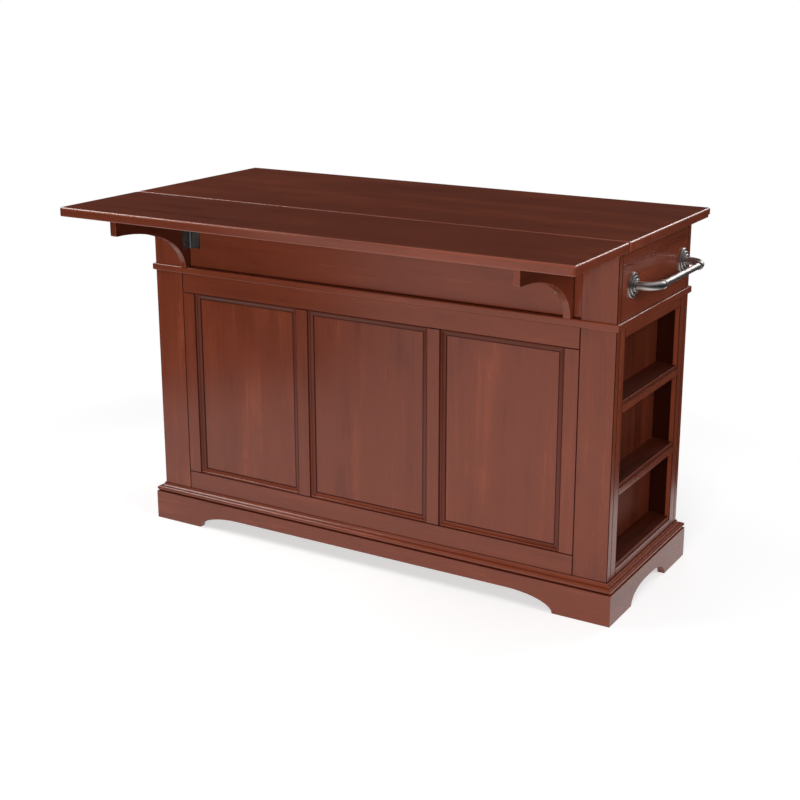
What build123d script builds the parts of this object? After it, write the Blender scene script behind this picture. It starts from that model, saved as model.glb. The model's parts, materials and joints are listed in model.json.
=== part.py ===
from build123d import *
import os

# Bar counter with a raised drop leaf on two swing brackets, a rack and a towel bar on its right end,
# and drawers and cupboards on its working side. Millimetres. X runs to the right, Y to the working side
# and Z up. Places are worked out about the middle of the body, and keep() moves each piece to the origin
# at the middle of the whole counter's outline on the floor.

# Overall sizes
counter_height = 914.0
body_length = 1316.0
body_depth = 455.0
board = 20.0
arris = 1.2

# Top boards
top_thick = 23.0
top_end_overhang = 32.0
top_front_overhang = 22.0
top_back_overhang = 40.0
leaf_depth = 285.0
joint_gap = 6.0
top_corner = 4.0
top_round = 3.0
top_under_round = 1.5
rabbet_depth = 15.0
rabbet_height = 7.0

# Posts, waist and frieze
post_width = 88.0
frieze_height = 169.5
waist_thick = 17.0
waist_proud = 6.0
waist_round = 2.5
frieze_recess = 14.5

# Plinth and base moulding
plinth_height = 78.0
plinth_thick = 18.5
apron_low = 39.5
front_foot = 148.0
front_cove = 125.0
end_foot = 135.0
end_cove = 90.0
base_thick = 23.5
base_set = 0.7
base_groove = 2.5
base_nose = 6.0
base_step = 1.0
base_lip = 1.5
base_head = 2.5
frame_tuck = 15.5

# Front frame and panels
stile_width = 38.0
mullion_width = 36.0
centre_panel_width = 346.0
top_rail = 52.5
bottom_rail = 49.5
panel_recess = 9.0
panel_thick = 8.0
bead_width = 15.0
bead_height = 7.0
bead_round = 3.0
bead_foot = 1.5
bead_hollow = 0.7

# Rack in the right end
rack_stile = 30.0
rack_frame = 14.0
rack_depth = 61.0
rack_lining_set = 10.0
rack_back = 12.0
rack_top_rail = 25.5
rack_pitch = 200.5
rack_board = 8.0
rack_rail = 19.5
rack_board_set = 2.0

# Towel bar
towel_rise = 74.5
towel_spacing = 321.0
towel_shift = 13.0
towel_reach = 56.5
towel_bend = 39.0
arm_radius = 9.5
bar_radius = 7.6
collar_radius = 11.0
collar_length = 7.0
rosette_steps = ((30.0, 5.0), (23.0, 4.0), (15.5, 3.5))
rosette_round = 2.2

# Swing brackets
bracket_thick = 18.0
bracket_reach = 283.0
bracket_nose = 46.0
bracket_lip = 8.0
bracket_foot = 23.0
bracket_corner = 5.0
bracket_clear = 0.3
bracket_left_gap = 2.0
bracket_right_gap = 22.0

# Hinges
knuckle_radius = 3.5
knuckle_count = 5
knuckle_clear = 0.3
hinge_clear = 0.2
plate_thick = 2.0
pin_radius = 1.6
pin_clear = 0.05
bracket_hinge_length = 96.0
bracket_hinge_width = 24.0
bracket_hinge_rise = 49.5
leaf_hinge_length = 76.0
leaf_hinge_width = 16.0
leaf_hinge_clear = 29.0
door_hinge_length = 60.0
door_hinge_width = 20.0
door_hinge_inset = 90.0

# Working side: drawers, doors and the inside
back_stile = 60.0
back_top_rail = 20.0
back_bottom_rail = 24.5
drawer_gap = 2.0
drawer_side = 12.0
drawer_bottom = 6.0
drawer_bottom_rise = 8.0
drawer_side_height = 112.0
drawer_box_inset = 14.0
drawer_back_gap = 13.0
runner_foot = 6.5
runner_width = 28.0
runner_guide_rise = 22.0
runner_clear = 0.3
drawer_knob_spacing = 280.0
door_gap = 2.0
door_meeting = 3.0
door_rail = 45.0
knob_inset = 22.0
knob_drop = 110.0
knob_foot_radius = 8.0
knob_foot = 3.0
knob_neck_radius = 5.5
knob_neck = 9.0
knob_head_radius = 14.5
knob_head = 12.0
knob_round = 4.5
dust_board = 12.0
floor_thick = 16.0
floor_rise = 18.5
partition = 16.0
shelf_thick = 16.0
shelf_height = 400.0
shelf_front_gap = 17.5
batten = 15.0

# Faces and edges that several pieces share
end_x = body_length / 2
front_y = -body_depth / 2
back_y = body_depth / 2
inner_x = end_x - board
inner_front = front_y + board
inner_back = back_y - board
post_x = end_x - post_width
top_low = counter_height - top_thick
top_x = end_x + top_end_overhang
joint_front = front_y - top_front_overhang
leaf_back = joint_front - joint_gap
leaf_front = leaf_back - leaf_depth
top_back = back_y + top_back_overhang
waist_top = top_low - frieze_height
waist_low = waist_top - waist_thick
frieze_y = front_y + frieze_recess
frieze_inner = frieze_y + board
base_top = plinth_height + base_thick
frame_low = apron_low + frame_tuck
opening_low = base_top + bottom_rail
opening_high = waist_low - top_rail
opening_middle = (opening_low + opening_high) / 2
opening_height = opening_high - opening_low
rack_top = waist_low - rack_top_rail
rack_frame_x = end_x - rack_frame
rack_back_x = end_x - rack_depth
rack_edge = inner_back - rack_stile
rack_wall = rack_edge + rack_lining_set
cupboard_x = rack_back_x - rack_back
axis_offset = knuckle_radius + hinge_clear
leaf_hinge_outer = end_x - post_width / 2
bracket_inner_x = post_x - bracket_right_gap - bracket_thick
leaf_hinge_inner = bracket_inner_x - bracket_reach - leaf_hinge_clear - leaf_hinge_length / 2
bar_x = end_x + towel_reach
towel_height = waist_top + towel_rise
rosette_height = sum(height for radius, height in rosette_steps)
floor_top = base_top + floor_rise
back_bottom_rail_top = base_top + back_bottom_rail
dust_top = waist_low + dust_board
runner_top = dust_top + runner_foot

# Origin: the middle of the outline, which reaches from the leaf to the back edge and out to the towel bar
origin_x = (bar_x + collar_radius - top_x) / 2
origin_y = (leaf_front + top_back) / 2


def keep(name, *solids):
    """Move the solids of one node to the origin and write them."""
    placed = [Pos(-origin_x, -origin_y, 0) * solid for solid in solids]
    pieces = [piece for shape in placed for piece in shape.solids()]
    shape = pieces[0] if len(pieces) == 1 else Compound(children=pieces)
    export_step(shape, f"parts/{name}.step")


def block(x, y, z):
    """Box that spans three (low, high) pairs."""
    spans = (x, y, z)
    size = [high - low for low, high in spans]
    middle = [(high + low) / 2 for low, high in spans]
    return Pos(*middle) * Box(*size)


def eased(x, y, z):
    """Board with all its arrises eased."""
    return fillet(block(x, y, z).edges(), arris)


def both_ways(half):
    """Span from minus half to half."""
    return (-half, half)


def flip(span):
    """Span mirrored about zero."""
    return (-span[1], -span[0])


def turned(steps, rounding):
    """Stack of discs along Z from zero, each with a rounded rim."""
    shape = None
    level = 0.0
    for radius, height in steps:
        disc = Pos(0, 0, level + height / 2) * Cylinder(radius, height)
        rim = disc.edges().filter_by(GeomType.CIRCLE).sort_by(Axis.Z)[-1]
        disc = fillet(rim, min(rounding, 0.7 * height))
        shape = disc if shape is None else shape + disc
        level += height
    return shape


# Strips that run round the body, mitred at its corners

def mitred(profile, inner_length, reach):
    """Strip along X whose inner face is y = 0, with mitred ends that widen outwards."""
    half = inner_length / 2
    run = extrude(Plane.YZ * profile, amount=half + reach, both=True)
    wedge = Polyline(
        (-half, 0), (half, 0), (half + reach, -reach), (-half - reach, -reach), close=True)
    return run & extrude(make_face(wedge), amount=counter_height)


def round_the_body(strip):
    """Places of the front, right, back and left strip, from a maker of one strip by its length."""
    return {
        "front": Pos(0, front_y, 0) * strip(body_length),
        "right": Pos(end_x, 0, 0) * Rot(0, 0, 90) * strip(body_depth),
        "back": Pos(0, back_y, 0) * Rot(0, 0, 180) * strip(body_length),
        "left": Pos(-end_x, 0, 0) * Rot(0, 0, -90) * strip(body_depth),
    }


def outward(reach, low, high):
    """Rectangle of a strip's section, from the body's face outwards."""
    return Pos(-reach / 2, (low + high) / 2) * Rectangle(reach, high - low)


def plinth_strip(length):
    """Plinth board with bracket feet: a low arch whose ends are elliptical coves."""
    on_end = length == body_depth
    foot = end_foot if on_end else front_foot
    cove = end_cove if on_end else front_cove
    flat = length / 2 + plinth_thick - foot - cove
    arch = Pos(0, apron_low / 2) * Rectangle(2 * flat, apron_low)
    for side in (-1, 1):
        arch += Pos(side * flat, 0) * Ellipse(cove, apron_low)
    board_run = mitred(outward(plinth_thick, 0, plinth_height), length, plinth_thick)
    return board_run - extrude(Plane.XZ * arch, amount=plinth_thick, both=True)


def base_strip(length):
    """Base moulding: a cove down to a half-round nose, over a small groove above the plinth."""
    reach = plinth_thick - base_set
    neck = reach - base_nose
    nose_low = plinth_height + base_groove
    nose_top = nose_low + 2 * base_nose
    cove_foot = neck - base_step
    cove_top = base_top - base_lip
    share = 0.5 ** 0.5
    cove_middle = (share * (cove_foot - base_head) - cove_foot, cove_top - share * (cove_top - nose_top))
    section = Curve() + [
        Polyline((-base_head, cove_top), (-base_head, base_top), (0, base_top), (0, plinth_height),
                 (-neck, plinth_height), (-neck, nose_low)),
        ThreePointArc((-neck, nose_low), (-reach, nose_low + base_nose), (-neck, nose_top)),
        Line((-neck, nose_top), (-cove_foot, nose_top)),
        ThreePointArc((-cove_foot, nose_top), cove_middle, (-base_head, cove_top))]
    return mitred(make_face(section), length, reach)


def waist_strip(length):
    """Waist moulding with both outer arrises rounded."""
    section = outward(waist_proud, waist_low, waist_top)
    section = fillet(section.vertices().group_by(Axis.X)[0], waist_round)
    return mitred(section, length, waist_proud)


# Flat panels in frames, each with a mitred bead round it

def bead_strip(length):
    """Bead along X: its outer edge is y = 0, it rises from z = 0 and its ends are mitred inwards."""
    shoulder = bead_height - bead_round
    crest_end = 2 * bead_round
    cove_end = bead_width - bead_foot
    cove_middle = ((crest_end + cove_end) / 2, (shoulder + bead_foot) / 2 - bead_hollow)
    section = Curve() + [
        Polyline((cove_end, bead_foot), (bead_width, bead_foot), (bead_width, 0), (0, 0), (0, shoulder)),
        ThreePointArc((0, shoulder), (bead_round, bead_height), (crest_end, shoulder)),
        ThreePointArc((crest_end, shoulder), cove_middle, (cove_end, bead_foot))]
    half = length / 2
    run = extrude(Plane.YZ * make_face(section), amount=half, both=True)
    wedge = Polyline(
        (-half, 0), (half, 0), (half - bead_width, bead_width), (bead_width - half, bead_width), close=True)
    return run & extrude(make_face(wedge), amount=bead_height)


def panel_and_beads(plane, width, height):
    """Panel and its four bead strips for an opening whose face lies in plane."""
    panel = Pos(0, 0, -panel_recess - panel_thick / 2) * Box(width, height, panel_thick)
    beads = []
    for turn in (0, 180):
        beads.append(Rot(0, 0, turn) * Pos(0, -height / 2, -panel_recess) * bead_strip(width))
        beads.append(Rot(0, 0, turn + 90) * Pos(0, -width / 2, -panel_recess) * bead_strip(height))
    return plane.location * panel, [plane.location * bead for bead in beads]


# Butt hinges

def hinge_leaf(middle, along, into, length, width, outer):
    """Hinge leaf on a pin through middle: the plate runs along one direction and lies on wood towards into.

    The outer leaf has the first, third and fifth knuckle, and the other leaf those between them.
    """
    frame = Plane(origin=middle, x_dir=along, z_dir=Vector(*along).cross(-Vector(*into)))
    edge = axis_offset + knuckle_clear
    plate_y = (-axis_offset, plate_thick - axis_offset)
    leaf = block((edge, edge + width), plate_y, both_ways(length / 2))
    pitch = length / knuckle_count
    for index in range(0 if outer else 1, knuckle_count, 2):
        level = -length / 2 + pitch * (index + 0.5)
        half = (pitch - knuckle_clear) / 2
        tab = block((0, edge), plate_y, (level - half, level + half))
        leaf += tab + Pos(0, 0, level) * Cylinder(knuckle_radius, 2 * half)
    leaf -= Cylinder(pin_radius + pin_clear, length)
    return frame.location * leaf


def hinge_pin(middle, axis, length):
    """Pin of a hinge, as long as its knuckles."""
    return Plane(origin=middle, z_dir=axis).location * Cylinder(pin_radius, length)


hinge_plates = []
hinge_pins = []
RIGHT, LEFT = (1, 0, 0), (-1, 0, 0)
BACK, FRONT = (0, 1, 0), (0, -1, 0)
UP = (0, 0, 1)


def make_top():
    """Main top with a rabbet under its back edge, the leaf, and the hinges under the joint."""

    def slab(y):
        shape = block(both_ways(top_x), y, (top_low, counter_height))
        shape = fillet(shape.edges().filter_by(Axis.Z), top_corner)
        shape = fillet(shape.faces().sort_by(Axis.Z)[-1].edges(), top_round)
        return fillet(shape.faces().sort_by(Axis.Z)[0].edges(), top_under_round)

    rabbet = block(
        both_ways(top_x), (top_back - rabbet_depth, top_back), (top_low, top_low + rabbet_height))
    keep("main_top", slab((joint_front, top_back)) - rabbet)
    keep("drop_leaf", slab((leaf_front, leaf_back)))
    flaps = []
    for x in (-leaf_hinge_outer, -leaf_hinge_inner, leaf_hinge_inner, leaf_hinge_outer):
        middle = (x, (joint_front + leaf_back) / 2, top_low - axis_offset)
        size = (leaf_hinge_length, leaf_hinge_width)
        hinge_plates.append(hinge_leaf(middle, BACK, UP, *size, True))
        flaps.append(hinge_leaf(middle, FRONT, UP, *size, False))
        hinge_pins.append(hinge_pin(middle, RIGHT, leaf_hinge_length))
    keep("leaf_hinge_flaps", *flaps)


def make_brackets():
    """Two brackets that swing out under the leaf, each on a hinge against the frieze."""
    low = waist_top + bracket_clear
    high = top_low - bracket_clear
    rear = frieze_y - bracket_clear
    front = frieze_y - bracket_reach
    nose_low = high - bracket_nose
    cove = rear - bracket_foot - front - bracket_lip
    outline = Pos((front + rear) / 2, (low + high) / 2) * Rectangle(rear - front, high - low)
    outline -= Pos(front + bracket_lip, low) * Ellipse(cove, nose_low - low)
    outline -= Pos(front + bracket_lip / 2, (low + nose_low) / 2) * Rectangle(bracket_lip, nose_low - low)
    corner = outline.vertices().sort_by_distance((front, nose_low, 0))[0]
    outline = fillet(corner, bracket_corner)
    gaps = {"left": bracket_left_gap, "right": bracket_right_gap}
    for side, name in ((-1, "left"), (1, "right")):
        outer_face = side * (post_x - gaps[name])
        inner_face = outer_face - side * bracket_thick
        run = extrude(Plane.YZ * outline, amount=bracket_thick / 2, both=True)
        keep(f"bracket_{name}", Pos((outer_face + inner_face) / 2, 0, 0) * run)
        inward = (-side, 0, 0)
        outside = (side, 0, 0)
        level = waist_top + bracket_hinge_rise + bracket_hinge_length / 2
        middle = (inner_face - side * axis_offset, frieze_y - axis_offset, level)
        size = (bracket_hinge_length, bracket_hinge_width)
        hinge_plates.append(hinge_leaf(middle, inward, BACK, *size, True))
        hinge_pins.append(hinge_pin(middle, UP, bracket_hinge_length))
        keep(f"bracket_{name}_flap", hinge_leaf(middle, FRONT, outside, *size, False))


def make_posts_and_waist():
    """Corner posts, frieze boards and the waist moulding that is notched round the posts."""
    post_span = (post_x, end_x)
    for name, x in (("left", flip(post_span)), ("right", post_span)):
        keep(f"post_front_{name}", eased(x, (front_y, inner_front), (0, top_low)))
        keep(f"post_back_{name}", eased(x, (inner_back, back_y), (0, top_low)))
    frieze = (waist_top, top_low)
    keep("frieze_front", block(both_ways(post_x), (frieze_y, frieze_inner), frieze))
    end_span = (inner_front, inner_back)
    keep("frieze_left", eased((-end_x, -inner_x), end_span, frieze))
    keep("frieze_right", eased((inner_x, end_x), end_span, frieze))
    waist = (waist_low, waist_top)
    strips = round_the_body(waist_strip)
    strips["front"] += block(both_ways(post_x), (front_y, frieze_inner), waist)
    strips["back"] += block(both_ways(post_x), (inner_back, back_y), waist)
    strips["left"] += block((-end_x, -inner_x), end_span, waist)
    strips["right"] += block((inner_x, end_x), end_span, waist)
    keep("waist_moulding", *strips.values())


def make_base():
    """Plinth boards and the base moulding on them."""
    plinth = round_the_body(plinth_strip)
    keep("plinth_front", plinth["front"])
    keep("plinth_back", plinth["back"])
    keep("plinth_ends", plinth["left"], plinth["right"])
    keep("base_moulding", *round_the_body(base_strip).values())


def make_front():
    """Front frame with three panels and their beads, and the framed panel of the left end."""
    face = (front_y, inner_front)
    keep("front_rails",
         eased(both_ways(post_x), face, (opening_high, waist_low)),
         eased(both_ways(post_x), face, (frame_low, opening_low)))
    opening = (opening_low, opening_high)
    stile = (post_x - stile_width, post_x)
    mullion = (centre_panel_width / 2, centre_panel_width / 2 + mullion_width)
    keep("front_stiles", *[eased(x, face, opening) for x in (flip(stile), flip(mullion), mullion, stile)])
    beads = []
    side_panel = (mullion[1], stile[0])
    spans = {
        "left": flip(side_panel), "centre": both_ways(centre_panel_width / 2), "right": side_panel}
    for name, (low, high) in spans.items():
        plane = Plane(origin=((low + high) / 2, front_y, opening_middle), x_dir=RIGHT, z_dir=FRONT)
        panel, strips = panel_and_beads(plane, high - low, opening_height)
        keep(f"front_panel_{name}", panel)
        beads += strips
    end = (-end_x, -inner_x)
    edge = inner_back - stile_width
    keep("left_end_frame",
         eased(end, (inner_front, -edge), (frame_low, waist_low)),
         eased(end, (edge, inner_back), (frame_low, waist_low)),
         eased(end, both_ways(edge), (opening_high, waist_low)),
         eased(end, both_ways(edge), (frame_low, opening_low)))
    plane = Plane(origin=(-end_x, 0, opening_middle), x_dir=FRONT, z_dir=LEFT)
    panel, strips = panel_and_beads(plane, 2 * edge, opening_height)
    keep("left_end_panel", panel)
    keep("panel_beads", *beads, *strips)


def make_rack():
    """Open rack in the right end: frame, linings, back, and boards that each lie on a rail."""
    frame_x = (rack_frame_x, end_x)
    rear_stile = (rack_edge, inner_back)
    upright = (frame_low, waist_low)
    keep("rack_stiles", *[eased(frame_x, y, upright) for y in (flip(rear_stile), rear_stile)])
    inside = (floor_top, waist_low)
    lining = (rack_wall, inner_back)
    inner_span = (rack_back_x, rack_frame_x)
    keep("rack_linings", *[block(inner_span, y, inside) for y in (flip(lining), lining)])
    keep("rack_back", block((cupboard_x, rack_back_x), (inner_front, inner_back), inside))
    opening = both_ways(rack_edge)
    tops = [floor_top + rack_board + rack_pitch * index for index in range(3)]
    rails = [eased(frame_x, opening, (rack_top, waist_low))]
    boards = []
    for index, top in enumerate(tops):
        low = top - rack_board
        rail_low = frame_low if index == 0 else low - rack_rail
        rails.append(eased(frame_x, opening, (rail_low, low)))
        tongue = block((rack_frame_x, end_x - rack_board_set), opening, (low, top))
        boards.append(block(inner_span, both_ways(rack_wall), (low, top)) + tongue)
    keep("rack_rails", *rails)
    keep("rack_shelves", *boards)


def make_towel_bar():
    """Two rosettes on the right frieze board, an elbow with a collar on each, and the bar between them."""
    rosettes = []
    elbows = []
    root_x = end_x + rosette_height
    bend_end = towel_spacing / 2 - towel_bend
    for side in (-1, 1):
        seat = towel_shift + side * towel_spacing / 2
        bent = towel_shift + side * bend_end
        place = Pos(end_x, seat, towel_height) * Rot(0, 90, 0)
        rosettes.append(place * turned(rosette_steps, rosette_round))
        path = FilletPolyline(
            (root_x, seat, towel_height), (bar_x, seat, towel_height),
            (bar_x, (towel_shift + bent) / 2, towel_height), radius=towel_bend)
        section = Plane(origin=(root_x, seat, towel_height), z_dir=RIGHT) * Circle(arm_radius)
        bend = sweep(section, path=path) & block(
            (root_x, bar_x + arm_radius), tuple(sorted((bent, seat + side * arm_radius))),
            both_ways(2 * towel_height))
        collar = Pos(bar_x, bent - side * collar_length / 2, towel_height) * Rot(90, 0, 0) * fillet(
            Cylinder(collar_radius, collar_length).edges().filter_by(GeomType.CIRCLE), rosette_round)
        elbows.append(bend + collar)
    keep("towel_rosettes", *rosettes)
    keep("towel_elbows", *elbows)
    length = 2 * (bend_end - collar_length)
    keep("towel_bar", Pos(bar_x, towel_shift, towel_height) * Rot(90, 0, 0) * Cylinder(bar_radius, length))


def knob(x, z):
    """Turned knob on the working side's face."""
    steps = (
        (knob_foot_radius, knob_foot), (knob_neck_radius, knob_neck), (knob_head_radius, knob_head))
    return Pos(x, back_y, z) * Rot(-90, 0, 0) * turned(steps, knob_round)


def make_inside():
    """Floor, dust board, partition and the cupboards' shelves on battens."""
    keep("floor_board", block(
        (-inner_x, rack_frame_x), (inner_front, inner_back), (floor_top - floor_thick, floor_top)))
    keep("dust_board", block(both_ways(inner_x), (frieze_inner, inner_back), (waist_low, dust_top)))
    keep("centre_partition", block(
        both_ways(partition / 2), (inner_front, inner_back), (floor_top, waist_low)))
    shelf_y = (inner_front, inner_back - shelf_front_gap)
    bays = ((-inner_x, -partition / 2), (partition / 2, cupboard_x))
    keep("cupboard_shelves", *[block(x, shelf_y, (shelf_height, shelf_height + shelf_thick)) for x in bays])
    battens = []
    for low, high in bays:
        for x in ((low, low + batten), (high - batten, high)):
            battens.append(block(x, shelf_y, (shelf_height - batten, shelf_height)))
    keep("shelf_battens", *battens)


def make_drawers():
    """Face rails and stiles of the working side, and two drawers on runners."""
    face = (inner_back, back_y)
    rail_low = top_low - back_top_rail
    keep("back_rails",
         eased(both_ways(post_x), face, (rail_low, top_low)),
         eased(both_ways(post_x), face, (frame_low, back_bottom_rail_top)))
    middle = both_ways(back_stile / 2)
    keep("back_stiles",
         eased(middle, face, (waist_top, rail_low)),
         eased(middle, face, (back_bottom_rail_top, waist_low)))
    runners = []
    box_back = frieze_inner + drawer_back_gap
    box_low = runner_top + runner_clear
    box_high = box_low + drawer_side_height
    for side, name in ((-1, "left"), (1, "right")):
        front = (back_stile / 2 + drawer_gap, post_x - drawer_gap)
        box = (front[0] + drawer_box_inset, front[1] - drawer_box_inset)
        inside = (box[0] + drawer_side, box[1] - drawer_side)
        place = flip if side < 0 else tuple
        level = (waist_top + drawer_gap, rail_low - drawer_gap)
        keep(f"drawer_{name}_front", eased(place(front), face, level))
        sides = ((box[0], inside[0]), (inside[1], box[1]))
        walls = [block(place(x), (box_back, inner_back), (box_low, box_high)) for x in sides]
        walls.append(block(place(inside), (box_back, box_back + drawer_side), (box_low, box_high)))
        bottom_low = box_low + drawer_bottom_rise
        walls.append(block(
            place(inside), (box_back + drawer_side, inner_back), (bottom_low, bottom_low + drawer_bottom)))
        keep(f"drawer_{name}_box", *walls)
        centre = side * (front[0] + front[1]) / 2
        knobs = [knob(centre + way * drawer_knob_spacing / 2, sum(level) / 2) for way in (-1, 1)]
        keep(f"drawer_{name}_knobs", *knobs)
        run = (frieze_inner, inner_back)
        for x, guide_edge in ((box[0], -1), (box[1], 1)):
            guide = x + guide_edge * runner_clear
            outer = guide + guide_edge * (drawer_box_inset / 2)
            foot = tuple(sorted((outer, outer - guide_edge * runner_width)))
            runner = block(place(foot), run, (dust_top, runner_top))
            upright = block(
                place(tuple(sorted((guide, outer)))), run, (runner_top, runner_top + runner_guide_rise))
            runners.append(runner + upright)
    keep("drawer_runners", *runners)


def make_doors():
    """Two pairs of framed doors, each door with two hinges and a knob."""
    low = back_bottom_rail_top + door_gap
    high = waist_low - door_gap
    height = high - low
    opening = (back_stile / 2, post_x)
    width = (opening[1] - opening[0] - 2 * door_gap - door_meeting) / 2
    for side, pair in ((-1, "left"), (1, "right")):
        for hinged, post in (("inner", opening[0]), ("outer", opening[1])):
            away = 1 if hinged == "inner" else -1
            hinge_edge = post + away * door_gap
            centre = side * (hinge_edge + away * width / 2)
            plane = Plane(origin=(centre, back_y, (low + high) / 2), x_dir=LEFT, z_dir=BACK)
            half_width = width / 2
            half_height = height / 2
            frame_z = (-board, 0)
            inner_width = half_width - door_rail
            inner_height = half_height - door_rail
            local = [
                eased((-half_width, -inner_width), both_ways(half_height), frame_z),
                eased((inner_width, half_width), both_ways(half_height), frame_z),
                eased(both_ways(inner_width), (inner_height, half_height), frame_z),
                eased(both_ways(inner_width), (-half_height, -inner_height), frame_z)]
            panel, beads = panel_and_beads(plane, 2 * inner_width, 2 * inner_height)
            name = f"door_{pair}_{hinged}"
            keep(name, *[plane.location * piece for piece in local], panel, *beads)
            free_edge = hinge_edge + away * (width - knob_inset)
            fittings = [knob(side * free_edge, high - knob_drop)]
            pin_x = side * (post + away * door_gap / 2)
            opening_way = (side * away, 0, 0)
            post_way = (-side * away, 0, 0)
            size = (door_hinge_length, door_hinge_width)
            for level in (low + door_hinge_inset, high - door_hinge_inset):
                middle = (pin_x, back_y + axis_offset, level)
                fittings.append(hinge_leaf(middle, opening_way, FRONT, *size, False))
                hinge_plates.append(hinge_leaf(middle, post_way, FRONT, *size, True))
                hinge_pins.append(hinge_pin(middle, UP, door_hinge_length))
            keep(f"{name}_fittings", *fittings)


os.makedirs("parts", exist_ok=True)
make_top()
make_brackets()
make_posts_and_waist()
make_base()
make_front()
make_rack()
make_towel_bar()
make_inside()
make_drawers()
make_doors()
keep("hinge_plates", *hinge_plates)
keep("hinge_pins", *hinge_pins)
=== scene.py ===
"""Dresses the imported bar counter: stained boards, mouldings, hinges, towel bar, studio light and camera."""

from __future__ import annotations

import json
import logging
import math
import random
from dataclasses import dataclass, field
from enum import Enum
from typing import Callable, Iterable, Optional

import bmesh
import bpy
from mathutils import Matrix, Vector

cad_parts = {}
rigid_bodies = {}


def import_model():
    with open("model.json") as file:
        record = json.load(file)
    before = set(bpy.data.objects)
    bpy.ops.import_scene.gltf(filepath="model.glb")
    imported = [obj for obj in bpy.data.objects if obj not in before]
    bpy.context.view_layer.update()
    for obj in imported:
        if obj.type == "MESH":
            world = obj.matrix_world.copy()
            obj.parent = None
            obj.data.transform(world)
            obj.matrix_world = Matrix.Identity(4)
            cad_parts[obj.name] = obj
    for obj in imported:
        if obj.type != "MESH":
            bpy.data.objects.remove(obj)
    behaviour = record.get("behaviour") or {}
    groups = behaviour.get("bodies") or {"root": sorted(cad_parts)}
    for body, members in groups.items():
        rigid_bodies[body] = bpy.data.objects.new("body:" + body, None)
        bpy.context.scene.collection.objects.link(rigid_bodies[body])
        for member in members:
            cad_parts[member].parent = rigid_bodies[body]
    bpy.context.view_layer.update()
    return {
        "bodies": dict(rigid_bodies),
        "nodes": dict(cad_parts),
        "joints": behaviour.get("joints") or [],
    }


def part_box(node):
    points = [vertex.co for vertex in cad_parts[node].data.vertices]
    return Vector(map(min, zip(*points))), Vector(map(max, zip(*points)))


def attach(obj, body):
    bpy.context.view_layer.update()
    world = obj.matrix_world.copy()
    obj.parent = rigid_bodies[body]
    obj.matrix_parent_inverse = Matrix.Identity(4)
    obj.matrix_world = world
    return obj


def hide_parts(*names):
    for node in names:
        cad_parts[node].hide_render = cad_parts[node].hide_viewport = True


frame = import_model()

LOG = logging.getLogger("bar_counter")
MM = 0.001
TOUCH = 1e-6  # places nearer than this are the same
APART = 1e-4  # an edge whose ends are further apart along an axis runs along it
MIDDLE = 0.5  # middle of a noise value
# Full share of dark glaze and painted shade, which the edge attribute holds.
FULL_GLAZE_AND_SHADE = 1.0  # full share of dark glaze
FACING = 0.9  # least part of a normal along the way that its face looks

Material = bpy.types.Material
Socket = bpy.types.NodeSocket
Vert = bmesh.types.BMVert
Edge = bmesh.types.BMEdge
Face = bmesh.types.BMFace
Box = tuple[Vector, Vector]
Colour = tuple[float, float, float]
Place = tuple[float, float, float]
Pair = tuple[float, float]
Corners = Iterable[Pair]


def rotation(degrees: float, axis: str) -> Matrix:
    """Turn about a row axis."""
    return Matrix.Rotation(math.radians(degrees), 4, axis)


class Grain(Enum):
    """Row axis that a board's fibres run along, with the axes across them."""

    X = (0, 1, 2)
    Y = (1, 0, 2)
    Z = (2, 0, 1)

    @classmethod
    def longest(cls, low: Vector, high: Vector) -> Grain:
        """Grain along the longest side of a box."""
        size = high - low
        return (cls.X, cls.Y, cls.Z)[max(range(3), key=lambda axis: size[axis])]


class Side(Enum):
    """Side of the body that a strip or panel faces, by its turn about Z in degrees."""

    FRONT = 0
    RIGHT = 90
    BACK = 180
    LEFT = 270

    @property
    def on_end(self) -> bool:
        """Whether the side is one of the body's two ends."""
        return self in (Side.RIGHT, Side.LEFT)

    @property
    def level_grain(self) -> Grain:
        """Grain of a level strip on this side."""
        return Grain.Y if self.on_end else Grain.X

    def turn(self) -> Matrix:
        """Rotation that takes a front strip to this side."""
        return rotation(self.value, "Z")

    def facing(self) -> Matrix:
        """Axes of a panel on this side: its X to the right, Y up and Z outwards."""
        return self.turn() @ rotation(90, "X")


# Materials


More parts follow.
